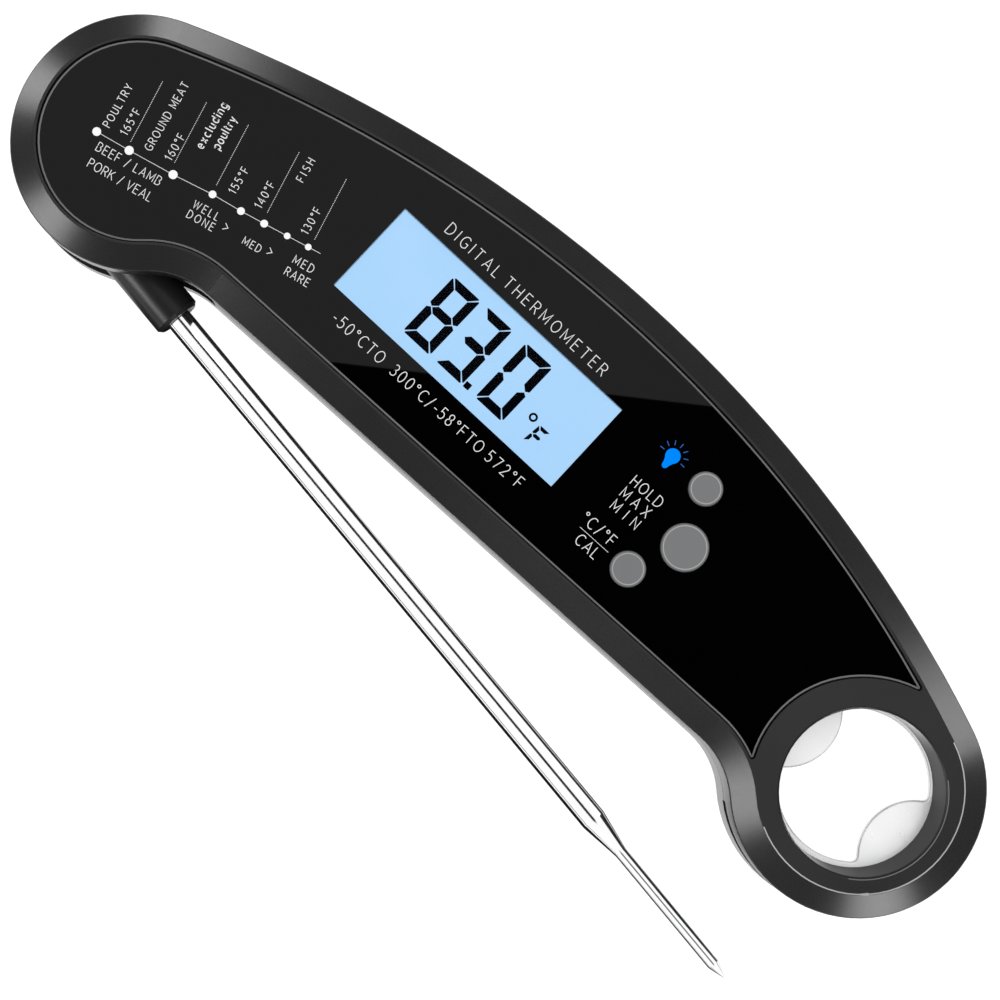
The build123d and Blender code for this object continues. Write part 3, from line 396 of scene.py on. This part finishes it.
LOW = 0.7  # height of a small letter
letters = {
    "A": (0.64, [[(0, 0), (0.32, 1), (0.64, 0)], [(0.1, 0.32), (0.54, 0.32)]]),
    "B": (
        0.52,
        [
            [(0, 0.53), (0, 1), *bow(0.26, 0.765, 0.22, 0.235, 90, -90), (0, 0.53)],
            [(0, 0.53), *bow(0.27, 0.265, 0.25, 0.265, 90, -90), (0, 0), (0, 0.53)],
        ],
    ),
    "C": (0.58, [bow(0.36, 0.5, 0.36, 0.5, 52, 308)]),
    "D": (0.6, [[(0, 0), (0, 1), *bow(0.2, 0.5, 0.4, 0.5, 90, -90), (0, 0)]]),
    "E": (0.46, [[(0.46, 1), (0, 1), (0, 0), (0.46, 0)], [(0, 0.52), (0.42, 0.52)]]),
    "F": (0.44, [[(0.44, 1), (0, 1), (0, 0)], [(0, 0.5), (0.4, 0.5)]]),
    "G": (0.62, [[*bow(0.36, 0.5, 0.36, 0.5, 50, 300), (0.62, 0.14), (0.62, 0.46), (0.38, 0.46)]]),
    "H": (0.56, [[(0, 0), (0, 1)], [(0.56, 0), (0.56, 1)], [(0, 0.52), (0.56, 0.52)]]),
    "I": (0.06, [[(0.03, 0), (0.03, 1)]]),
    "K": (0.52, [[(0, 0), (0, 1)], [(0.5, 1), (0, 0.38)], [(0.17, 0.6), (0.54, 0)]]),
    "L": (0.42, [[(0, 1), (0, 0), (0.42, 0)]]),
    "M": (0.7, [[(0, 0), (0, 1), (0.35, 0.2), (0.7, 1), (0.7, 0)]]),
    "N": (0.56, [[(0, 0), (0, 1), (0.56, 0), (0.56, 1)]]),
    "O": (0.7, [oval(0.35, 0.5, 0.35, 0.5)]),
    "P": (0.5, [[(0, 0), (0, 1), *bow(0.25, 0.74, 0.25, 0.26, 90, -90), (0, 0.48)]]),
    "R": (
        0.52,
        [[(0, 0), (0, 1), *bow(0.25, 0.74, 0.25, 0.26, 90, -90), (0, 0.48)], [(0.26, 0.48), (0.52, 0)]],
    ),
    "S": (0.48, [[*bow(0.25, 0.755, 0.22, 0.245, 40, 240), *bow(0.23, 0.26, 0.24, 0.26, 55, -145)]]),
    "T": (0.56, [[(0, 1), (0.56, 1)], [(0.28, 1), (0.28, 0)]]),
    "U": (0.54, [[(0, 1), *bow(0.27, 0.27, 0.27, 0.27, 180, 360), (0.54, 1)]]),
    "V": (0.6, [[(0, 1), (0.3, 0), (0.6, 1)]]),
    "W": (0.88, [[(0, 1), (0.22, 0), (0.44, 0.95), (0.66, 0), (0.88, 1)]]),
    "X": (0.58, [[(0, 0), (0.58, 1)], [(0, 1), (0.58, 0)]]),
    "Y": (0.58, [[(0, 1), (0.29, 0.46), (0.58, 1)], [(0.29, 0.46), (0.29, 0)]]),
    "0": (0.5, [oval(0.25, 0.5, 0.25, 0.5)]),
    "1": (0.26, [[(0.02, 0.8), (0.22, 1), (0.22, 0)]]),
    "2": (0.48, [[*bow(0.23, 0.74, 0.22, 0.26, 160, -30), (0, 0), (0.48, 0)]]),
    "3": (0.46, [bow(0.21, 0.765, 0.21, 0.235, 145, -90), bow(0.21, 0.265, 0.25, 0.265, 90, -145)]),
    "4": (0.54, [[(0.4, 0), (0.4, 1), (0, 0.28), (0.54, 0.28)]]),
    "5": (0.46, [[(0.42, 1), (0.06, 1), *bow(0.2, 0.31, 0.26, 0.31, 125, -140)]]),
    "6": (0.48, [oval(0.24, 0.3, 0.24, 0.3), bow(0.48, 0.3, 0.48, 0.7, 180, 98)]),
    "7": (0.46, [[(0, 1), (0.46, 1), (0.14, 0)]]),
    "8": (0.48, [oval(0.24, 0.765, 0.2, 0.235), oval(0.24, 0.265, 0.24, 0.265)]),
    "/": (0.36, [[(0, -0.08), (0.36, 1.06)]]),
    "-": (0.28, [[(0, 0.4), (0.28, 0.4)]]),
    ">": (0.5, [[(0, 0.9), (0.5, 0.5), (0, 0.1)]]),
    "°": (0.26, [oval(0.13, 0.86, 0.13, 0.13)]),
    " ": (0.16, []),
    "c": (0.42, [bow(0.24, 0.35, 0.24, 0.35, 50, 310)]),
    "d": (0.46, [oval(0.23, 0.35, 0.23, 0.35), [(0.46, 0), (0.46, 1.04)]]),
    "e": (0.46, [[(0.02, 0.36), *bow(0.23, 0.35, 0.22, 0.35, 0, 310)]]),
    "g": (0.46, [oval(0.23, 0.35, 0.23, 0.35), [(0.46, LOW), *bow(0.23, -0.1, 0.23, 0.2, 0, -150)]]),
    "i": (0.06, [[(0.03, 0), (0.03, LOW)], [(0.03, 0.88), (0.03, 1.02)]]),
    "l": (0.06, [[(0.03, 0), (0.03, 1.04)]]),
    "n": (0.42, [[(0, 0), (0, LOW)], [*bow(0.21, 0.48, 0.21, 0.22, 180, 0), (0.42, 0)]]),
    "o": (0.48, [oval(0.24, 0.35, 0.24, 0.35)]),
    "p": (0.46, [[(0, -0.3), (0, LOW)], oval(0.23, 0.35, 0.23, 0.35)]),
    "r": (0.26, [[(0, 0), (0, LOW)], bow(0.24, 0.42, 0.24, 0.27, 180, 85)]),
    "t": (0.28, [[(0.1, 0.95), (0.1, 0.1), (0.28, 0)], [(0, LOW), (0.28, LOW)]]),
    "u": (0.42, [[(0, LOW), *bow(0.21, 0.22, 0.21, 0.22, 180, 360)], [(0.42, LOW), (0.42, 0)]]),
    "x": (0.42, [[(0, 0), (0.42, LOW)], [(0, LOW), (0.42, 0)]]),
    "y": (0.44, [[(0, LOW), (0.22, 0.02)], [(0.44, LOW), (0.12, -0.3)]]),
}
NARROWEST_GAP = 0.17  # between letters, of a capital's height


def words(bm, text, width, cap, place, weight):
    """Adds a line of lettering along X from place. Width, capital height and weight are in millimetres."""
    breadth = sum(letters[c][0] for c in text)
    gap = (width / cap - breadth) / max(len(text) - 1, 1)
    slim = 1.0
    if gap < NARROWEST_GAP and len(text) > 1:
        gap = NARROWEST_GAP
        slim = (width / cap - gap * (len(text) - 1)) / breadth
    left = 0.0
    for letter in text:
        wide, strokes = letters[letter]
        for points in strokes:
            ribbon(bm, [((left + x * slim) * cap, y * cap) for x, y in points], weight, place)
        left += wide * slim + gap


PRINT_Z = PANEL_TOP + 0.02 * MM
PRINT_DEEP = 0.015 * MM  # thickness of printed marks and of the display's ink
LINE_LIFT, LINE_DEEP = 0.004 * MM, 0.003 * MM  # the height over the surface, and thickness, of the pale lines laid on edges as painted highlights
FINE, MEDIUM, HEAVY = 0.1, 0.112, 0.155  # line weights in millimetres
CHART_TURN = 12.4
UP = CHART_TURN + 90
DASH_COUNT, DASH_STEP, DASH_LONG, DASH_WIDTH = 38, 0.25, 0.12, 0.09  # the dotted dividers, in millimetres
chart = bmesh.new()
marks = bmesh.new()
flat = Matrix.Translation((0, 0, PRINT_Z))
under = Matrix.Translation((0, 0, PRINT_Z - 0.008 * MM))

# The doneness line with its dots.
dots = [
    (-71.3, -2.95, 0.6),
    (-66.3, -1.9, 0.62),
    (-59.65, -0.35, 0.62),
    (-53.85, 1.25, 0.53),
    (-49.45, 2.15, 0.53),
    (-45.95, 3.0, 0.53),
    (-42.5, 3.85, 0.45),
    (-39.35, 4.65, 0.45),
]
for x, y, radius in dots:
    disc(marks, x, y, radius, flat)
ribbon(chart, [(x, y) for x, y, radius in dots] + [(-37.5, 5.1)], 0.07, under)
# Dotted dividers.
slope = Vector((-0.25, 0.968))
for x, y in ((-66.95, -0.9), (-60.6, 1.0), (-54.3, 2.55), (-46.65, 4.4), (-39.4, 6.0)):
    for i in range(DASH_COUNT):
        a = Vector((x, y)) + slope * DASH_STEP * i
        ribbon(chart, [a, a + slope * DASH_LONG], DASH_WIDTH, flat)
# Meats and temperatures, reading upwards.
for text, x, y, width, cap, weight in (
    ("POULTRY", -70.35, -1.4, 6.45, 1.08, FINE),
    ("165°F", -67.85, -0.65, 3.85, 1.1, FINE),
    ("GROUND MEAT", -64.0, 0.0, 10.5, 1.1, FINE),
    ("160°F", -61.05, 0.85, 3.85, 1.1, FINE),
    ("excluding", -59.0, 4.95, 6.9, 1.15, HEAVY),
    ("poultry", -57.25, 6.4, 4.8, 1.15, HEAVY),
    ("155°F", -51.55, 3.3, 3.85, 1.1, FINE),
    ("140°F", -47.6, 4.2, 3.85, 1.1, FINE),
    ("FISH", -45.8, 10.75, 3.35, 1.1, FINE),
    ("130°F", -40.5, 5.8, 3.85, 1.1, FINE),
):
    words(chart, text, width, cap, at(x, y, PRINT_Z, UP), weight)
# Doneness names, under the line.
for text, x, y, width, cap in (
    ("BEEF / LAMB", -69.75, -4.95, 9.85, 1.25),
    ("PORK / VEAL", -69.1, -7.4, 9.75, 1.28),
    ("WELL", -54.75, -1.9, 3.85, 1.1),
    ("DONE", -54.45, -3.45, 4.0, 1.1),
    (">", -49.65, -1.5, 0.6, 1.2),
    ("MED", -46.4, -1.05, 2.65, 1.05),
    (">", -42.95, 0.05, 0.6, 1.2),
    ("MED", -39.55, 1.6, 3.0, 1.15),
    ("RARE", -39.35, -0.35, 3.6, 1.15),
):
    words(chart, text, width, cap, at(x, y, PRINT_Z, CHART_TURN), FINE)
# Title, range and key names.
for text, x, y, width, cap, turn in (
    ("DIGITAL", -27.0, 18.75, 9.4, 1.7, -0.9),
    ("THERMOMETER", -16.2, 18.58, 18.4, 1.7, -0.9),
    ("-50°CTO", -30.35, -0.75, 8.9, 1.65, -0.2),
    ("300°C/-58°FTO", -19.65, -0.78, 16.4, 1.65, -0.2),
    ("572°F", -2.15, -0.84, 6.1, 1.65, -0.2),
    ("HOLD", 14.9, 10.0, 5.1, 1.55, 0),
    ("MAX", 14.9, 7.85, 4.75, 1.55, 0),
    ("MIN", 15.05, 5.7, 4.5, 1.55, 0),
    ("°C/°F", 13.25, 1.7, 5.4, 1.65, 0),
    ("CAL", 14.55, -1.05, 3.6, 1.6, 0),
):
    words(chart, text, width, cap, at(x, y, PRINT_Z, turn), MEDIUM)
ribbon(chart, [(13.8, 1.02), (19.0, 1.02)], 0.06, flat)
thicken(chart, PRINT_DEEP)
link("panel_print", chart, print_white)
thicken(marks, PRINT_DEEP)
link("panel_dots", marks, dot_white)


# The panel's edge: a thin lighter line, a painted highlight, laid on the outermost loop of the panel's own
# top face.
def top_loops(node):
    """The closed loops round a CAD node's top face, in millimetres, the one reaching furthest left first."""
    mesh, world = nodes[node].data, nodes[node].matrix_world
    spots = [world @ v.co for v in mesh.vertices]
    top = max(p.z for p in spots)

    def key(spot):
        """A spot as whole numbers, so that points which coincide compare equal."""
        return round(spot.x * 1e7), round(spot.y * 1e7)

    sides = {}
    for face in mesh.polygons:
        if all(spots[i].z > top - 1e-6 for i in face.vertices):
            for i, j in face.edge_keys:
                side = tuple(sorted((key(spots[i]), key(spots[j]))))
                sides[side] = sides.get(side, 0) + 1
    after = {}
    for (a, b), count in sides.items():
        if count == 1 and a != b:
            after.setdefault(a, []).append(b)
            after.setdefault(b, []).append(a)
    loops = []
    while after:
        start = next(iter(after))
        loop, here = [start], start
        while after.get(here):
            there = after[here].pop()
            after[there].remove(here)
            loop.append(there)
            here = there
        for spot in loop:
            if not after.get(spot):
                after.pop(spot, None)
        if len(loop) > 3:
            loops.append([(x / 1e4, y / 1e4) for x, y in loop])
    return sorted(loops, key=lambda loop: min(x for x, y in loop))


def thinned(loop, least=0.02):
    """A loop without points that nearly coincide."""
    kept = [loop[0]]
    for point in loop[1:-1]:
        if math.dist(point, kept[-1]) > least:
            kept.append(point)
    if math.dist(kept[-1], kept[0]) <= least:
        kept.pop()
    return [*kept, kept[0]]


EDGE_WIDTH = 0.24
edge = bmesh.new()
panel_rim = thinned(top_loops("front_panel")[0])
ribbon(edge, panel_rim, EDGE_WIDTH, Matrix.Translation((0, 0, PANEL_TOP + LINE_LIFT)))
thicken(edge, LINE_DEEP)
link("panel_edge_painted_highlight", edge, painted_highlight_grey)

# Painted highlights on the crest of the bevel and on the mouth's lip round the ring's far side, laid in the
# same way.
# Turns are in degrees about the ring, and lengths in millimetres.
CREST_FROM, CREST_TO, CREST_WIDTH, STRAIGHT_END = -118, 76, 0.17, 50
LIP_FROM, LIP_TO, LIP_RADIUS, LIP_WIDTH = -58, 50, 11.82, 0.13
crest = bmesh.new()
beyond = []
for x, y in thinned(top_loops("front_housing")[0]):
    turn = math.degrees(math.atan2(y - ring.y / MM, x - ring.x / MM))
    if CREST_FROM < turn < CREST_TO and x > STRAIGHT_END:
        beyond.append((x, y))
first = max(range(len(beyond)), key=lambda i: math.dist(beyond[i], beyond[i - 1]))
beyond = beyond[first:] + beyond[:first]
crest_top = Matrix.Translation((0, 0, body_high.z + LINE_LIFT))
ribbon(crest, beyond, CREST_WIDTH, crest_top)
thicken(crest, LINE_DEEP)
link("ring_crest_painted_highlight", crest, painted_highlight_pale)
lip = bmesh.new()
lip_place = crest_top @ Matrix.Translation(MOUTH)
ribbon(lip, bow(0, 0, LIP_RADIUS, LIP_RADIUS, LIP_FROM, LIP_TO), LIP_WIDTH, lip_place)
thicken(lip, LINE_DEEP)
link("ring_lip_painted_highlight", lip, painted_highlight_grey)

# The keys' rims: thin pale rings laid on each key's top edge, a painted highlight.
RIM_OUT, RIM_IN = 0.05, 0.08  # how far a key's painted highlight ring reaches past the key's edge, and inside it
for key, body in (("light_key", "light"), ("hold_key", "hold"), ("unit_key", "unit")):
    heart, key_top = middle(key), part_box(key)[1]
    radius = max(math.dist(p, (heart.x / MM, heart.y / MM)) for p in top_loops(key)[0])
    key_rim_painted_highlight = bmesh.new()
    place = at(0, 0, key_top.z + LINE_LIFT)
    disc(key_rim_painted_highlight, heart.x / MM, heart.y / MM, radius + RIM_OUT, place, radius - RIM_IN, 48)
    thicken(key_rim_painted_highlight, LINE_DEEP)
    link(f"{key}_rim", key_rim_painted_highlight, painted_highlight_pale, body)

# The light key's sign: a bulb with rays.
bulb, rays = bmesh.new(), bmesh.new()
bulb_place = at(16.8, 16.45, PRINT_Z)
RAY_COUNT, RAY_TURN, RAY_FROM, RAY_TO, RAY_WIDTH = 7, 31, 1.5, 2.2, 0.11
BULB_HEART, BULB_RADIUS = Vector((0, 0.32)), 1.08
foot = [(-0.5, -1.0), (-0.42, -1.5), (-0.14, -1.75), (0.14, -1.75), (0.42, -1.5), (0.5, -1.0)]
shape(bulb, bow(*BULB_HEART, BULB_RADIUS, BULB_RADIUS, -48, 228) + foot, bulb_place)
for i in range(RAY_COUNT):
    turn = math.radians(90 + (i - RAY_COUNT // 2) * RAY_TURN)
    way = Vector((math.cos(turn), math.sin(turn)))
    ribbon(rays, [BULB_HEART + way * RAY_FROM, BULB_HEART + way * RAY_TO], RAY_WIDTH, bulb_place)
for name, made, finish in (("light_sign", bulb, print_blue), ("light_rays", rays, print_deep_blue)):
    thicken(made, PRINT_DEEP)
    link(name, made, finish)


# --- Display digits ---
def segments(bm, lit, width, height, line, place, lean=0.0):
    """Adds the lit bars of a seven-bar digit, its corner at the origin of place."""
    half, gap, cut = height / 2, 0.07, line * 0.32
    mid = cut / 2
    bars = {
        "a": [
            (mid + gap, height - mid + gap),
            (cut, height),
            (width - cut, height),
            (width - mid - gap, height - mid + gap),
            (width - line - gap, height - line),
            (line + gap, height - line),
        ],
        "f": [
            (0, height - cut),
            (mid - gap, height - mid - gap),
            (line, height - line - gap * 1.5),
            (line, half + line / 2 + gap * 1.5),
            (line * 0.42, half + gap),
            (0, half + line * 0.25 + gap),
        ],
        "g": [
            (line * 0.5 + gap, half),
            (line + gap, half + line / 2),
            (width - line - gap, half + line / 2),
            (width - line * 0.5 - gap, half),
            (width - line - gap, half - line / 2),
            (line + gap, half - line / 2),
        ],
    }
    bars["d"] = [(x, height - y) for x, y in bars["a"]]
    bars["e"] = [(x, height - y) for x, y in bars["f"]]
    bars["b"] = [(width - x, y) for x, y in bars["f"]]
    bars["c"] = [(width - x, height - y) for x, y in bars["f"]]
    for name in lit:
        shape(bm, [(x + lean * y, y) for x, y in bars[name]], place)


WINDOW_TURN = -0.9
INK_Z = LCD_TOP + 0.02 * MM
DIGIT_TALL, DIGIT_LINE, DIGIT_LEAN = 10.3, 1.3, 0.01
digits = bmesh.new()
ink_flat = Matrix.Translation((0, 0, INK_Z))
for lit, wide, x, y in (
    ("abcdefg", 5.05, -22.25, 4.9),
    ("abcdg", 4.95, -16.2, 4.85),
    ("abcdef", 5.05, -8.8, 4.75),
):
    segments(digits, lit, wide, DIGIT_TALL, DIGIT_LINE, at(x, y, INK_Z, WINDOW_TURN), DIGIT_LEAN)
# The point, then the degree sign and its letter.
shape(digits, [(-11.05, 4.75), (-10.1, 4.75), (-10.1, 5.7), (-11.05, 5.7)], ink_flat)
disc(digits, -0.95, 8.05, 0.64, ink_flat, 0.33)
segments(digits, "aefg", 1.95, 3.15, 0.52, at(0.0, 4.75, INK_Z, WINDOW_TURN), 0.12)
thicken(digits, PRINT_DEEP)
link("display_digits", digits, segment_ink)


# --- Floor ---
FLOOR_RADIUS, FLOOR_Z = 4.0, -0.2 * MM


def floor():
    """A plain pale floor, a little below the object."""
    place = (0, 0, FLOOR_Z)
    bpy.ops.mesh.primitive_circle_add(vertices=64, radius=FLOOR_RADIUS, fill_type="NGON", location=place)
    made = bpy.context.object
    made.name = "floor"
    finish, tree, shader = new_material("floor_white", (0.28, 0.28, 0.28), 0.9)
    shader.inputs["Specular IOR Level"].default_value = 0.0
    shader.inputs["Emission Color"].default_value = (1.0, 1.0, 1.0, 1.0)
    shader.inputs["Emission Strength"].default_value = 0.93
    slow = noise(tree, coordinates(tree), 0.8, 1.0)
    tree.links.new(tint(tree, slow, (0.27, 0.27, 0.27), (0.29, 0.29, 0.29)), shader.inputs["Base Color"])
    made.data.materials.append(finish)


floor()

bpy.context.scene.view_settings.view_transform = "Standard"

# --- World: pale to the camera and for soft light, dark to reflections ---
PALE, DARK = 0.8, 0.004
world = bpy.data.worlds.new("studio")
bpy.context.scene.world = world
world.use_nodes = True
tree = world.node_tree
ground = tree.nodes["Background"]
ground.inputs["Color"].default_value = (1, 1, 1, 1)
ground.inputs["Strength"].default_value = PALE
dark = tree.nodes.new("ShaderNodeBackground")
dark.inputs["Color"].default_value = (1, 1, 1, 1)
dark.inputs["Strength"].default_value = DARK
path = tree.nodes.new("ShaderNodeLightPath")
mix = tree.nodes.new("ShaderNodeMixShader")
tree.links.new(path.outputs["Is Glossy Ray"], mix.inputs["Fac"])
tree.links.new(ground.outputs["Background"], mix.inputs[1])
tree.links.new(dark.outputs["Background"], mix.inputs[2])
tree.links.new(mix.outputs["Shader"], tree.nodes["World Output"].inputs["Surface"])

# --- Camera ---
AIM = Vector((3.23, -3.47, 18.0)) * MM
LENS, SENSOR = 100.0, 36.0
SPAN = 136.94 * MM  # what the picture's side takes in at AIM
distance = SPAN / 2 / (SENSOR / 2 / LENS)
across = Vector((0.743, 0.669, 0)).normalized()  # the direction along the picture's side
tilt = math.radians(3.2)
back = Vector((0, -math.sin(tilt), math.cos(tilt)))
right = (across - back * across.dot(back)).normalized()
up = back.cross(right)
lens = bpy.data.cameras.new("camera")
lens.lens = LENS
lens.sensor_width = SENSOR
lens.clip_start = 0.01
lens.clip_end = 20
camera = bpy.data.objects.new("camera", lens)
bpy.context.scene.collection.objects.link(camera)
camera.matrix_world = Matrix(
    (
        (right.x, up.x, back.x, 0),
        (right.y, up.y, back.y, 0),
        (right.z, up.z, back.z, 0),
        (0, 0, 0, 1),
    )
)
camera.location = AIM + back * distance
bpy.context.scene.camera = camera


# --- Lights ---
def area(name, place, target, size, strength, glossy, depth=None, receivers=None):
    """A soft rectangular light, for reflections only or matt surfaces only. Receivers narrow it further."""
    light = bpy.data.lights.new(name, "AREA")
    light.shape = "RECTANGLE"
    light.size = size
    light.size_y = depth or size
    light.energy = strength * math.pi * light.size * light.size_y
    made = bpy.data.objects.new(name, light)
    bpy.context.scene.collection.objects.link(made)
    made.location = place
    made.rotation_euler = (Vector(target) - Vector(place)).to_track_quat("-Z", "Y").to_euler()
    made.visible_camera = False
    made.visible_glossy = glossy
    made.visible_diffuse = not glossy
    if receivers:
        made.light_linking.receiver_collection = receivers
    return made


area("soft_top", (0, 0, 1.4), (0, 0, 0), 1.8, 1.3, False)

# A broad card above the camera, whose straight edge crosses the glossy panel as a slanting reflection.
CARD_Z, CARD_WIDE, CARD_DEEP, CARD_STRENGTH = 0.62, 0.7, 0.42, 0.4
SHELL_CARD_SIZE = 0.34


def mirrored(x, y):
    """Where the panel, at a point in millimetres, mirrors the height of the card."""
    spot = Vector((x * MM, y * MM, PANEL_TOP))
    ray = spot - camera.location
    return spot + Vector((ray.x, ray.y, -ray.z)) * ((CARD_Z - spot.z) / -ray.z)


edge_a, edge_b = mirrored(-27.0, -5.3), mirrored(17.0, 26.0)
along = (edge_b - edge_a).normalized()
inward = Vector((-along.y, along.x, 0))
card_middle = (edge_a + edge_b) / 2 + inward * CARD_DEEP / 2


def lit_group(name, members):
    """A collection of CAD nodes that a light is kept to."""
    made = bpy.data.collections.new(name)
    for member in members:
        made.objects.link(nodes[member])
    return made


needle_only = lit_group("needle_only", ["probe_needle"])
opener_only = lit_group("opener_only", ["opener_plate"])
body_only = lit_group("body_only", [name for name in nodes if name not in ("probe_needle", "opener_plate")])
shell_only = lit_group("shell_only", ["front_housing"])
rim_only = lit_group("rim_only", ["front_housing", "probe_arm"])
below = card_middle - Vector((0, 0, 1))
card = area("panel_card", card_middle, below, CARD_WIDE, CARD_STRENGTH, True, CARD_DEEP, body_only)
card.rotation_euler = (0, 0, math.atan2(along.y, along.x))
area("shell_card", (0, 0, CARD_Z), (0, 0, 0), SHELL_CARD_SIZE, CARD_STRENGTH, True, receivers=shell_only)

# Two long lights over the needle, with a dark gap over its middle line.
needle_way = math.radians(-NEEDLE_TURN)
needle_side = Vector((-math.sin(needle_way), math.cos(needle_way), 0))
NEEDLE_STRENGTH = 1.1
NEEDLE_LIGHT_UP, NEEDLE_GAP, NEEDLE_LIGHT_WIDE, NEEDLE_LIGHT_LONG = 0.25, 0.058, 1.9, 1.6
for side in (-1, 1):
    spot = middle("probe_needle") + needle_side * side * (NEEDLE_GAP + NEEDLE_LIGHT_WIDE / 2)
    spot.z = NEEDLE_LIGHT_UP
    made = area(
        f"needle_{side}",
        spot,
        spot - Vector((0, 0, 1)),
        NEEDLE_LIGHT_LONG,
        NEEDLE_STRENGTH,
        True,
        NEEDLE_LIGHT_WIDE,
        needle_only,
    )
    made.rotation_euler = (0, 0, needle_way)
# A low light between the needle and the shell, so that the needle does not mirror the dark shell too broadly.
FILL_Y, FILL_LOW, FILL_HIGH, FILL_LONG = -11.3 * MM, 11.5 * MM, 26 * MM, 92 * MM
spot = Vector((1 * MM, FILL_Y, (FILL_LOW + FILL_HIGH) / 2))
fill_target = spot - Vector((0, 1, 0))
fill_tall = FILL_HIGH - FILL_LOW
area("needle_fill", spot, fill_target, FILL_LONG, NEEDLE_STRENGTH, True, fill_tall, needle_only)
# A card for the opener plate's flat face.
area("opener_card", (0.12, 0, 0.5), ring, 0.5, 0.92, True, receivers=opener_only)


FLAG_Z = 0.2 * MM


def flag():
    """A black flag over the floor that only reflections see, for the needle's dark lower edge."""
    mesh = bpy.data.meshes.new("flag")
    corners = ((-48, -12.5), (44, -12.5), (70, -24), (90, -24), (90, -90), (-80, -60))
    mesh.from_pydata([(x * MM, y * MM, FLAG_Z) for x, y in corners], [], [range(len(corners))])
    mesh.materials.append(moulded("flag_black", (0.01, 0.01, 0.01), 0.9, Specular_IOR_Level=0.0))
    made = bpy.data.objects.new("flag", mesh)
    bpy.context.scene.collection.objects.link(made)
    made.visible_camera = made.visible_diffuse = made.visible_transmission = made.visible_shadow = False


flag()


def towards(azimuth, elevation, radius=1.0):
    """A step of a length in a direction, by azimuth and elevation in degrees."""
    a, e = math.radians(azimuth), math.radians(elevation)
    return Vector((math.cos(a) * math.cos(e), math.sin(a) * math.cos(e), math.sin(e))) * radius


# Small cards close to the two ends, one for each highlight on the bevel: the end, the azimuth of the spot it
# lights, then the card's own azimuth, elevation, width and strength. Its narrow spread keeps it to that end.
RIM_FAR, RIM_TALL, RIM_SPREAD = 0.1, 0.036, math.radians(50)
BEVEL_Z, BEVEL_OUT = 19 * MM, 16 * MM  # the bevel's height, and its distance from an end's middle
for end, spot_turn, azimuth, elevation, width, strength in (
    (pivot, 117, 123, 19, 0.041, 0.68),
    (pivot, 192, 187, 17, 0.043, 0.72),
    (pivot, 263, 250, 29, 0.048, 0.78),
    (ring, 69, 61, 20, 0.032, 0.62),
    (ring, -39, -30, 21, 0.058, 0.73),
    (ring, -130, -125, 36, 0.053, 0.77),
):
    spot = Vector((end.x, end.y, BEVEL_Z)) + towards(spot_turn, 0, BEVEL_OUT)
    place = spot + towards(azimuth, elevation, RIM_FAR)
    rim_card = area(f"rim_{azimuth}", place, spot, width, strength, True, RIM_TALL, rim_only)
    rim_card.data.spread = RIM_SPREAD
# Pale side cards for the opener's rounded edges.
SIDE_TURN, SIDE_UP, SIDE_FAR, SIDE_SIZE, SIDE_STRENGTH = 20, 30, 0.7, 0.8, 0.8
for i in range(4):
    spot = ring + towards(90 * i + SIDE_TURN, SIDE_UP, SIDE_FAR)
    area(f"opener_side_{i}", spot, ring, SIDE_SIZE, SIDE_STRENGTH, True, receivers=opener_only)
